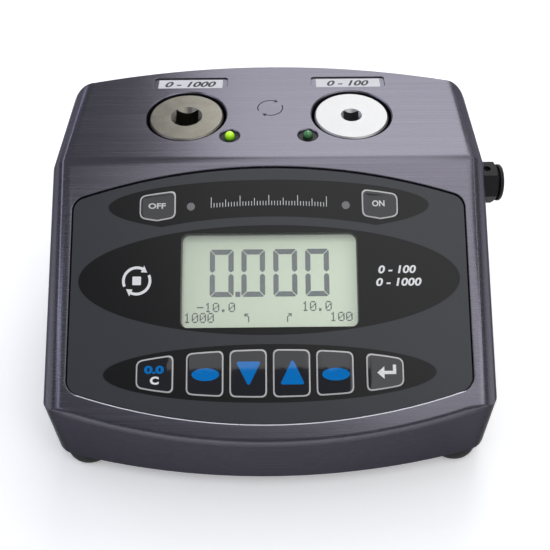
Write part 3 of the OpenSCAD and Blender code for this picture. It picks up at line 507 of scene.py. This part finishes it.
def soft_polygon(corners, r, n=5):
    """A polygon whose corners are arcs of radius r, each tangent to both its sides."""
    corners = np.asarray(corners, float)
    out = []
    for k, c in enumerate(corners):
        a, b = corners[k - 1] - c, corners[(k + 1) % len(corners)] - c
        a, b = a / np.hypot(*a), b / np.hypot(*b)
        half = math.acos(float(np.clip(a @ b, -1, 1))) / 2
        centre = c + (a + b) / np.hypot(*(a + b)) * r / math.sin(half)
        start, end = c + a * r / math.tan(half) - centre, c + b * r / math.tan(half) - centre
        t0, t1 = math.atan2(start[1], start[0]), math.atan2(end[1], end[0])
        t1 = t0 + (t1 - t0 + math.pi) % (2 * math.pi) - math.pi
        t = np.linspace(t0, t1, n)
        out.append(centre + r * np.stack([np.cos(t), np.sin(t)], axis=1))
    return np.concatenate(out)


def lettering(name, text, box, level, body, material, place=slope_print, lean=0.0, bold=0.0):
    """Plain signs fitted to a box (left, right, low, high), leaning by lean per unit of height. Their
    outlines are fattened by bold, in heights of the text."""
    curve = bpy.data.curves.new(name + "_curve", "FONT")
    curve.body, curve.extrude, curve.offset, curve.resolution_u = text, 0.1, bold, 4
    holder = put(name + "_curve", curve)
    depsgraph = bpy.context.evaluated_depsgraph_get()
    mesh = bpy.data.meshes.new_from_object(holder.evaluated_get(depsgraph))
    bpy.data.objects.remove(holder)
    co = np.zeros(len(mesh.vertices) * 3)
    mesh.vertices.foreach_get("co", co)
    co = co.reshape(-1, 3)
    low, high = co.min(0), co.max(0)
    unit = (co - low) / (high - low)
    left, right, bottom, top = box
    height = bottom + unit[:, 1] * (top - bottom)
    across = left + unit[:, 0] * (right - left - lean * (top - bottom)) + lean * (height - bottom)
    placed = place(across, height, level + unit[:, 2] * SIGN_THICK)
    mesh.vertices.foreach_set("co", placed.reshape(-1))
    mesh.name = name
    mesh.materials.clear()
    mesh.materials.append(material)
    work = bmesh.new()
    work.from_mesh(mesh)
    bmesh.ops.remove_doubles(work, verts=work.verts, dist=SAME_SIGN_POINT)
    bmesh.ops.recalc_face_normals(work, faces=work.faces)
    work.to_mesh(mesh)
    work.free()
    made = put(name, mesh)
    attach(made, body)


# The housing's broken edges

# An edge is broken where it folds outwards by more than this many degrees
BROKEN_FOLD = 60
# A place on the deck or the slope is off its plane by less than this
PLANE_SLACK = 0.003
# The deck's round openings: middle, and a radius that takes in their edges
BORES = [(x, y, 20.0) for x, y in DRIVES] + [(x, LIGHT_Y, 6.0) for x in LIGHT_X]
# Below this v the recess's rounded edge gets a painted highlight
HIGHLIGHT_FROM_V = 93.0
# Where a bow meets a corner, the rounding leaves slivers narrower than this, in metres
SLIVER = 1e-6


def painted_highlight_at(p):
    """Where a rounded edge gets a painted highlight in a bright bare-metal colour: low on the recess, and
    round the bores.
    """
    return down_slope(p.y, p.z) > HIGHLIGHT_FROM_V or any(math.hypot(p.x - x, p.y - y) < r for x, y, r in BORES)


def at_bores(co):
    """On the deck's plane, within the radius of a bore."""
    near = [np.hypot(co[:, 0] - x, co[:, 1] - y) < r for x, y, r in BORES]
    return on_deck_plane(co) & np.any(near, axis=0)


def off_bores(co):
    """On the deck's plane, away from the bores."""
    return on_deck_plane(co) & ~at_bores(co)


def on_deck_plane(co):
    """Where z is the deck's height."""
    return np.abs(co[:, 2] - BODY_H) < PLANE_SLACK


def at_recess(co):
    """On the slope's plane, where (z - H) * cos(S) - (y - B) * sin(S) is 0."""
    return np.abs((co[:, 2] - BODY_H) * SLOPE_COS - (co[:, 1] - BEND_Y) * SLOPE_SIN) < PLANE_SLACK


# Which edges, and how wide
BROKEN_EDGES = ((at_bores, 0.6), (off_bores, 0.25), (at_recess, 0.4))


def round_edges(work, chosen, radius):
    """Rounds the edges that fold outwards and have both ends chosen, which is worked out from the array of
    all places in millimetres. Stretches that get a painted highlight get the second material."""
    work.verts.index_update()
    there = chosen(np.array([v.co for v in work.verts]) / MM)
    edges = [
        edge for edge in work.edges
        if all(there[v.index] for v in edge.verts) and len(edge.link_faces) == 2
        and edge.calc_face_angle_signed(0.0) > math.radians(BROKEN_FOLD)
    ]
    made = bmesh.ops.bevel(
        work, geom=edges, offset=radius * MM, offset_type="OFFSET", segments=3, profile=0.5,
        affect="EDGES", clamp_overlap=False, loop_slide=False,
    )
    for face in made["faces"]:
        face.material_index = int(painted_highlight_at(face.calc_center_median() / MM))


def smooth_copy(node, broken=()):
    """A merged copy of a CAD node, shaded smoothly except across its sharp edges."""
    mesh = frame["nodes"][node].data.copy()
    mesh.name = node + "_shell"
    work = bmesh.new()
    work.from_mesh(mesh)
    bmesh.ops.remove_doubles(work, verts=work.verts, dist=SAME_CAD_POINT)
    if broken:
        mesh.materials.append(EDGE_HIGHLIGHT)
        for chosen, radius in broken:
            round_edges(work, chosen, radius)
        bmesh.ops.remove_doubles(work, verts=work.verts, dist=SLIVER)
    limit = math.radians(SHARP_FOLD)
    for face in work.faces:
        face.smooth = True
    for edge in work.edges:
        edge.smooth = len(edge.link_faces) == 2 and edge.calc_face_angle(math.pi) < limit
    work.to_mesh(mesh)
    work.free()
    made = put(node + "_shell", mesh)
    even = made.modifiers.new("even_normals", "WEIGHTED_NORMAL")
    even.mode, even.weight, even.keep_sharp = "FACE_AREA", 50, True
    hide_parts(node)
    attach(made, BODIES[node])


ROUND_NODES = (
    "housing", "base_plate", "transducer_large", "transducer_small",
    "foot_front_left", "foot_front_right", "foot_rear_left", "foot_rear_right",
    "side_knob", "knob_set_screw", "selector_nut", "led_large", "led_small", "led_holders",
    "foot_screws", "foot_washers", "base_screws", "transducer_screws",
    "charger_jack", "charger_jack_nut", "data_port", "data_port_posts", "key_domes",
)
for node in ROUND_NODES:
    smooth_copy(node, broken=BROKEN_EDGES if node == "housing" else ())


# Keys

# Points along a key's upper or lower edge, points that are left of it between its corners, and
# points of a corner
EDGE_POINTS, SHORT_POINTS, CORNER_POINTS = 17, 13, 7
# The pillow: its bulge, how fast it rises from the rim, its crown, the innermost ring, and its foot
BULGE, BULGE_REACH, CROWN, INNERMOST, KEY_FOOT = 0.16, 0.22, 0.02, 3.2, 1.0
# Signs on a key start a little inside its top
SIGN_LEVEL = OVERLAY_FACE + BULGE + CROWN - 0.005


def band_reach(band, inset, u):
    """Half height of a band at u: (b - inset) * sqrt(1 - (u / (a - inset))^2)."""
    return (band[2] - inset) * np.sqrt(np.maximum(0, 1 - (u / (band[1] - inset)) ** 2))


def key_edges(row, u):
    """v of a key's upper and lower edge at u, which follow the bands."""
    if row:
        reach = band_reach(LOWER_BAND, LOWER_INSET, u)
        return LOWER_BAND[0] - reach, LOWER_BAND[0] + reach
    reach = band_reach(UPPER_BAND, UPPER_INSET, u)
    notch = MIDDLE_BAND[0] - band_reach(MIDDLE_BAND, 0, u) - BAND_GAP - UPPER_INSET
    return UPPER_BAND[0] - reach, np.minimum(UPPER_BAND[0] + reach, notch)


def key_outline(row, middle_u, inset, r):
    """A key's outline moved inwards by inset, with corners of radius r, as (u, w) with w up."""
    u = np.linspace(middle_u - KEY_W / 2 + inset, middle_u + KEY_W / 2 - inset, EDGE_POINTS)
    top, low = key_edges(row, u)
    slant_top, slant_low = np.gradient(top, u), np.gradient(low, u)
    top = top + inset * np.sqrt(1 + slant_top**2)
    low = low - inset * np.sqrt(1 + slant_low**2)
    upper = np.stack([u, -top], axis=1)[::-1]
    lower = np.stack([u, -low], axis=1)
    return round_corners((lower, upper), r)


def round_corners(runs, r):
    """Rounds the four corners of a loop made of two runs of points. Each run is cut back by r, and a
    corner is the curve (1 - t)^2 start + 2 t (1 - t) corner + t^2 stop between its two cuts."""
    short = []
    for run in runs:
        length = np.concatenate([[0], np.cumsum(np.hypot(*np.diff(run, axis=0).T))])
        place = np.linspace(r, length[-1] - r, SHORT_POINTS)
        short.append(np.stack([np.interp(place, length, run[:, k]) for k in (0, 1)], axis=1))
    t = np.linspace(0, 1, CORNER_POINTS)[:, None]
    out = []
    for k in (0, 1):
        first, second = runs[k][-1], runs[1 - k][0]
        side = (second - first) / np.hypot(*(second - first)) * r
        out.append(short[k][:-1])
        first_corner = (short[k][-1], first, first + side)
        second_corner = (second - side, second, short[1 - k][0])
        for start, corner, stop in (first_corner, second_corner):
            out.append((1 - t) ** 2 * start + 2 * t * (1 - t) * corner + t**2 * stop)
        out[-1] = out[-1][:-1]
    return np.concatenate(out)


def key_pad(node):
    """A pillow: rings of the key's outline at growing insets, each at a height over the overlay's face
    of bulge * (1 - exp(-inset / reach)) + crown * inset / innermost, and a skirt ring below it."""
    row, middle_u = KEYS[node]
    insets = np.array([0.0, 0.0, 0.05, 0.15, 0.3, 0.5, 0.75, 1.1, 1.6, 2.3, INNERMOST])
    levels = OVERLAY_FACE + BULGE * (1 - np.exp(-insets / BULGE_REACH)) + CROWN * insets / INNERMOST
    levels[0] = OVERLAY_FACE - KEY_FOOT
    rings, rims = [], []
    for inset, level in zip(insets, levels):
        ring = key_outline(row, middle_u, inset, max(KEY_CORNER_R - inset * 0.55, 0.7))
        rings.append(slope_print(ring[:, 0], ring[:, 1], np.full(len(ring), level)))
        rims.append(np.full(len(ring), inset))
    count = len(rings[0])
    i = np.arange(count)
    faces = ring_faces(count, len(rings)) + [i[::-1], i + (len(rings) - 1) * count]
    points, body = np.concatenate(rings), BODIES[node]
    made = piece(node + "_pad", points, faces, body, KEY_FILM, replaces=(node,), smooth=True)
    rim = made.data.attributes.new("rim_mm", "FLOAT", "POINT")
    rim.data.foreach_set("value", np.concatenate(rims).astype(np.float32))


for node in KEYS:
    key_pad(node)


def key_symbol(name, node, outlines, material):
    """A sign of flat shapes on a key, which moves with it."""
    decal(name, outlines, SIGN_LEVEL, BODIES[node], material)


key_symbol("mark_left", "key_left", [ellipse(-24.75, -85.7, 5.3, 2.4)], BLUE_INK)
key_symbol("mark_right", "key_right", [ellipse(25.4, -86.0, 5.3, 2.4)], BLUE_INK)
down_arrow = soft_polygon([(-13.1, -80.9), (-8.2, -90.4), (-3.4, -80.9)], 0.6)
up_arrow = soft_polygon([(3.9, -89.7), (13.4, -89.7), (8.7, -79.9)], 0.6)
key_symbol("mark_down", "key_down", [down_arrow], BLUE_INK)
key_symbol("mark_up", "key_up", [up_arrow], BLUE_INK)


def key_word(name, node, text, box, material, bold):
    """Plain signs on a key, fitted to a box, which move with it."""
    lettering(name, text, box, SIGN_LEVEL, BODIES[node], material, bold=bold)


key_word("word_off", "key_off", "OFF", (-48.0, -41.1, -20.4, -18.1), SILVER_INK, 0.03)
key_word("word_on", "key_on", "ON", (41.2, 46.2, -20.25, -17.75), SILVER_INK, 0.03)
key_word("sign_zero", "key_clear", "0.0", (-48.3, -40.7, -85.2, -82.1), BLUE_INK, 0.05)
key_word("sign_clear", "key_clear", "C", (-46.0, -42.6, -89.3, -86.2), WHITE_INK, 0.05)
return_arrow = [
    (41.2, -85.6), (44.0, -83.2), (44.0, -84.95), (47.3, -84.95), (47.3, -82.6),
    (48.5, -82.6), (48.5, -86.2), (44.0, -86.2), (44.0, -88.0),
]
key_symbol("sign_enter", "key_enter", [return_arrow], WHITE_INK)

# Display

# The large digits: left and right side of each, their upper and lower v, and a bar's width
DIGITS = ((-24.0, -14.4), (-11.3, -1.8), (1.5, 11.1), (14.35, 23.9))
DIGIT_TOP, DIGIT_LOW, BAR = 36.1, 55.3, 2.1
# Half the gap between two bars, the cut of a digit's outer corners, and the pointed ends in its middle
BAR_GAP, CORNER_CUT, END_FROM, END_TIP = 0.1, 0.9, 1.1, 0.25


def zero_segments(left, right):
    """The six lit bars of a nought. Its outer corners are cut by 45 degrees, and bars that meet there
    end on two parallel lines at 45 degrees with a gap between them."""
    gap, cut = BAR_GAP, CORNER_CUT
    middle, half = -(DIGIT_TOP + DIGIT_LOW) / 2, (DIGIT_LOW - DIGIT_TOP) / 2
    bars = []
    for way in (1, -1):
        end = middle + way * half
        shoulder = end - way * (cut / 2 - gap)
        bars.append([
            (left + cut / 2 + gap, shoulder), (left + cut, end), (right - cut, end),
            (right - cut / 2 - gap, shoulder), (right - BAR - 2 * gap, end - way * BAR),
            (left + BAR + 2 * gap, end - way * BAR),
        ])
        for edge, turn in ((left, 1), (right, -1)):
            inner = edge + turn * BAR
            bars.append([
                (edge + turn * (cut / 2 - gap), end - way * (cut / 2 + gap)), (edge, end - way * cut),
                (edge, middle + way * END_FROM), (edge + turn * BAR / 2, middle + way * END_TIP),
                (inner, middle + way * END_FROM), (inner, end - way * (BAR + 2 * gap)),
            ])
    return bars


DISPLAY_FACE = GLASS_FACE + 0.02
segments = [bar for digit in DIGITS for bar in zero_segments(*digit)]
decimal_point = [(-13.7, -53.2), (-11.7, -53.2), (-11.7, -55.3), (-13.7, -55.3)]
segments.append(decimal_point)
decal("display_digits", segments, DISPLAY_FACE, "base", SEGMENT)

# The small signs, five dots wide and seven high. A dot fills this share of its cell's width and height
DOT_SHARE = 0.96
DOT_ROWS = {
    "0": ("01110", "10001", "10011", "10101", "11001", "10001", "01110"),
    "1": ("00100", "01100", "00100", "00100", "00100", "00100", "01110"),
    ".": ("00000", "00000", "00000", "00000", "00000", "01100", "01100"),
    "-": ("00000", "00000", "00000", "11111", "00000", "00000", "00000"),
}


def dot_number(number, left, right, top, low):
    """A number from left to right and from top to low, whose signs are dots with one column between."""
    step_u = (right - left) / (6 * len(number) - 1)
    step_w = (low - top) / 7
    dots = []
    for k, sign in enumerate(number):
        for line, bits in enumerate(DOT_ROWS[sign]):
            for column, bit in enumerate(bits):
                if bit == "1":
                    u0, w0 = left + (6 * k + column) * step_u, -top - line * step_w
                    u1, w1 = u0 + step_u * DOT_SHARE, w0 - step_w * DOT_SHARE
                    dots.append([(u0, w1), (u1, w1), (u1, w0), (u0, w0)])
    return dots


small_print = dot_number("-10.0", -29.0, -13.8, 57.5, 61.3)
small_print += dot_number("10.0", 12.9, 24.7, 57.2, 61.2)
small_print += dot_number("1000", -34.1, -22.2, 61.5, 65.5)
small_print += dot_number("100", 23.9, 32.9, 61.6, 65.3)
# A hooked arrow's shaft and head, drawn as they are and mirrored
SHAFT = ((0.8, -63.3), (0.8, -65.4), (0.35, -65.4), (0.35, -63.4), (-0.45, -62.75), (-0.15, -62.4))
ARROW_HEAD = ((-1.2, -62.0), (0.6, -61.9), (-1.0, -63.4))
for turn, middle_u in ((1, -9.0), (-1, 7.6)):
    small_print += [[(middle_u + turn * u, w) for u, w in outline] for outline in (SHAFT, ARROW_HEAD)]
decal("display_small_print", small_print, DISPLAY_FACE, "base", SMALL_SEGMENT)

# Prints on the panel

# Prints start a little inside the face that carries them
PRINT_SINK = 0.005
SCALE_STEP, SCALE_FOOT, SCALE_BOW, TICK_W = 1.15, -19.3, 0.0016, 0.28
# How tall a scale mark is: every tenth, every fifth, and any other
TICKS = (4.2, 3.0, 1.8)
# Half the width of a curved arrow's head, as a share of its length
HEAD_SPREAD = 0.62


def panel_print(name, outlines, material):
    """Flat shapes printed on the overlay."""
    decal(name, outlines, OVERLAY_FACE - PRINT_SINK, "base", material)


def tick_scale():
    """A row of scale marks whose feet lie on the parabola foot - bow * u^2."""
    marks = []
    for k in range(-20, 21):
        u = k * SCALE_STEP
        foot = SCALE_FOOT - SCALE_BOW * u * u
        top = foot + (TICKS[0] if k % 10 == 0 else TICKS[1] if k % 5 == 0 else TICKS[2])
        left, right = u - TICK_W / 2, u + TICK_W / 2
        marks.append([(left, foot), (right, foot), (right, top), (left, top)])
    return marks


def turning_arrows(cu, cw, r, start, sweep, width, head):
    """Two curved arrows that chase each other clockwise. Each is a ring sector that sweeps some degrees
    from its start, with a triangular head."""
    arrows = []
    for begin in (start, start - 180):
        t = np.radians(np.linspace(begin, begin - sweep, 28))
        outer = np.stack([cu + (r + width / 2) * np.cos(t), cw + (r + width / 2) * np.sin(t)], axis=1)
        inner = np.stack([cu + (r - width / 2) * np.cos(t), cw + (r - width / 2) * np.sin(t)], axis=1)
        corners = ((r + head * HEAD_SPREAD, t[-1]), (r, t[-1] - head / r), (r - head * HEAD_SPREAD, t[-1]))
        triangle = [[cu + far * math.cos(a), cw + far * math.sin(a)] for far, a in corners]
        arrows.append(np.concatenate([outer, triangle, inner[::-1]]))
    return arrows


for side, middle_u in (("left", -31.1), ("right", 30.7)):
    panel_print("dot_" + side, [ellipse(middle_u, -19.6, 1.6, 1.6, 32)], GREY_INK)
panel_print("panel_scale", tick_scale(), SILVER_INK)
panel_print("panel_turn_mark", turning_arrows(-52.0, -49.2, 5.2, 205, 140, 1.1, 2.4), WHITE_INK)
square = soft_polygon([(-53.7, -50.9), (-50.3, -50.9), (-50.3, -47.5), (-53.7, -47.5)], 0.3, 3)
panel_print("panel_square_mark", [square], WHITE_INK)


def panel_range(name, text, box):
    """A drive's range in numbers, printed on the overlay."""
    level = OVERLAY_FACE - PRINT_SINK
    lettering(name, text, box, level, "base", WHITE_INK, lean=0.2, bold=0.03)


panel_range("panel_range_small", "0 - 100", (42.6, 58.0, -47.2, -44.0))
panel_range("panel_range_large", "0 - 1000", (41.6, 60.0, -52.2, -49.0))

# Prints and marks on the deck

# How far a label's signs reach in front of the pocket's middle and behind it
SIGNS_FRONT, SIGNS_BACK = 2.7, 1.5


def label_text(name, text, middle_x, width):
    """A drive's range in numbers, printed on its label."""
    box = (middle_x - width / 2, middle_x + width / 2, POCKET_Y - SIGNS_FRONT, POCKET_Y + SIGNS_BACK)
    level = LABEL_THICK - POCKET_DEPTH - PRINT_SINK
    lettering(name, text, box, level, "base", DARK_INK, on_deck, lean=0.35, bold=0.03)


label_text("label_large_text", "0 - 1000", -DRIVE_X, 24.0)
label_text("label_small_text", "0 - 100", DRIVE_X, 20.0)
deck_arrows = turning_arrows(0.5, 47.6, 5.4, 200, 130, 0.55, 1.9)
decal("deck_turn_mark", deck_arrows, -0.01, "base", ENGRAVED, on_deck, 0.02)

# Camera

# The fitted camera: focal length and image centre in pixels, angles in degrees, and its place
PHOTO_PIXELS = 550
FOCAL, CENTRE_X, CENTRE_Y = 757.067, 286.466, 242.067
PITCH, YAW, ROLL = (math.radians(a) for a in (45.979, 0.35, -0.303))
CAMERA_AT = Vector((5.603, -223.156, 284.093)) * MM
SENSOR = 36.0


def make_camera():
    """The photo's camera. It looks ahead, PITCH below the horizon and YAW towards +x, and its image
    centre is moved to the fitted one by the lens shift."""
    ahead = Vector((math.sin(YAW) * math.cos(PITCH), math.cos(YAW) * math.cos(PITCH), -math.sin(PITCH)))
    right = ahead.cross(Vector((0, 0, 1))).normalized()
    up = right.cross(ahead)
    x_axis = right * math.cos(ROLL) + up * math.sin(ROLL)
    y_axis = up * math.cos(ROLL) - right * math.sin(ROLL)
    data = bpy.data.cameras.new("camera")
    data.sensor_width, data.sensor_fit = SENSOR, "HORIZONTAL"
    data.lens = FOCAL / PHOTO_PIXELS * SENSOR
    data.shift_x = (PHOTO_PIXELS / 2 - CENTRE_X) / PHOTO_PIXELS
    data.shift_y = (CENTRE_Y - PHOTO_PIXELS / 2) / PHOTO_PIXELS
    data.clip_start, data.clip_end = 0.01, 20.0
    camera = put("camera", data)
    turn = Matrix((x_axis, y_axis, -ahead)).transposed().to_4x4()
    camera.matrix_world = Matrix.Translation(CAMERA_AT) @ turn
    bpy.context.scene.camera = camera


make_camera()

# Light

# The lamps stand round this place, this far from it, in metres
LIT_PLACE, LAMP_DISTANCE = Vector((0.0, 0.0, 0.05)), 1.5


def softbox(name, side, rise, glow, colour=(1.0, 1.0, 1.0)):
    """A rectangular lamp that fills a field of directions as seen from the lit place. side is its
    (low, high) angle towards +x from the plane x = 0. rise is its (low, high) angle in that plane:
    0 is in front, 90 overhead and 180 behind. glow is its radiance, and its power glow * pi * area."""
    s, r = (math.radians(sum(a) / 2) for a in (side, rise))
    way = Vector((math.sin(s), -math.cos(s) * math.cos(r), math.cos(s) * math.sin(r)))
    along = (Vector((1, 0, 0)) - way * way.x).normalized()
    size = [2 * LAMP_DISTANCE * math.tan(math.radians(a[1] - a[0]) / 2) for a in (side, rise)]
    data = bpy.data.lights.new(name, "AREA")
    data.shape, data.size, data.size_y, data.color = "RECTANGLE", size[0], size[1], colour
    data.energy = glow * math.pi * size[0] * size[1]
    turn = Matrix((along, way.cross(along), way)).transposed().to_4x4()
    put(name, data).matrix_world = Matrix.Translation(LIT_PLACE + way * LAMP_DISTANCE) @ turn


softbox("lamp_front_low", (-9.5, 3), (54.6, 63), 1.4)
softbox("lamp_front_left", (-13.5, 3), (63, 71), 1.4)
softbox("lamp_front_middle", (3, 7), (54.6, 71), 1.65)
softbox("lamp_front_right", (7, 44), (44, 71), 1.6)
softbox("lamp_over", (-12, 26), (71, 100), 1.9)
softbox("lamp_top", (-6, 28), (100, 121), 1.5)
softbox("lamp_bend", (-8, 22), (121, 134), 3.0)
softbox("lamp_rear", (-8, 26), (134, 163), 2.9)
softbox("lamp_left", (-53, -43), (56, 147), 2.6, (0.9, 0.93, 1.12))
softbox("lamp_right", (44, 54), (54, 140), 1.6)


def make_world(strength):
    """Even pale light all round."""
    world = bpy.data.worlds.new("studio")
    world.use_nodes = True
    background = world.node_tree.nodes["Background"]
    background.inputs[0].default_value = (0.9, 0.93, 1.08, 1.0)
    background.inputs[1].default_value = strength
    bpy.context.scene.world = world


make_world(0.12)

# Floor

# The round wall's radius and height, and the radius of the bend at its foot, in metres
WALL_AT, WALL_TOP, BEND_RADIUS = 3.2, 0.8, 0.5
FLOOR_SIDES, BEND_STEPS = 96, 13


def floor_look():
    """White, with what the camera, gloss and glass see of it lifted, by more where less light falls,
    so that it shows white near by and pale far off."""
    look = Look("floor_white", roughness=0.9, specular_ior_level=0.0, emission_strength=1.0)
    x, y, z = look.place()
    cloud = look.noise((x, y, 0.0), 0.004, 2.0, 0.5)
    look.set("Base Color", look.shade((0.95, 0.95, 0.95), 1.0 + (cloud - 0.5) * 0.01))
    away = (x * x + y * y + z * z) ** 0.5
    lift = 0.26 + ((away - 160.0) / 2000.0).clip() * 0.3
    rays = ("Is Camera Ray", "Is Glossy Ray", "Is Transmission Ray")
    seen = sum(look.node("ShaderNodeLightPath", out=ray) for ray in rays)
    look.set("Emission Color", look.shade((1.0, 1.0, 1.0), lift * seen.clip()))
    return look.material


def make_floor():
    """A floor that bends up into a round wall. It is a lathe round z: flat out to the wall's radius
    less the bend's, a quarter circle, then upright."""
    bend = np.linspace(0, math.pi / 2, BEND_STEPS)
    r = np.concatenate([WALL_AT - BEND_RADIUS * (1 - np.sin(bend)), [WALL_AT]])
    h = np.concatenate([BEND_RADIUS * (1 - np.cos(bend)), [WALL_TOP]]) + FLOOR_Z * MM
    turn = np.linspace(0, 2 * math.pi, FLOOR_SIDES, endpoint=False)
    x, y, z = np.broadcast_arrays(np.outer(r, np.cos(turn)), np.outer(r, np.sin(turn)), h[:, None])
    rings = np.stack([x, y, z], axis=-1).reshape(-1, 3)
    i = np.arange(FLOOR_SIDES)
    fan = np.stack([0 * i, 1 + i, 1 + (i + 1) % FLOOR_SIDES], axis=1)
    faces = list(fan) + [1 + quad[::-1] for quad in ring_faces(FLOOR_SIDES, len(r))]
    points = np.concatenate([[(0.0, 0.0, FLOOR_Z * MM)], rings])
    surface("floor", points, faces, floor_look(), True)


make_floor()

bpy.context.scene.view_settings.view_transform = "Standard"
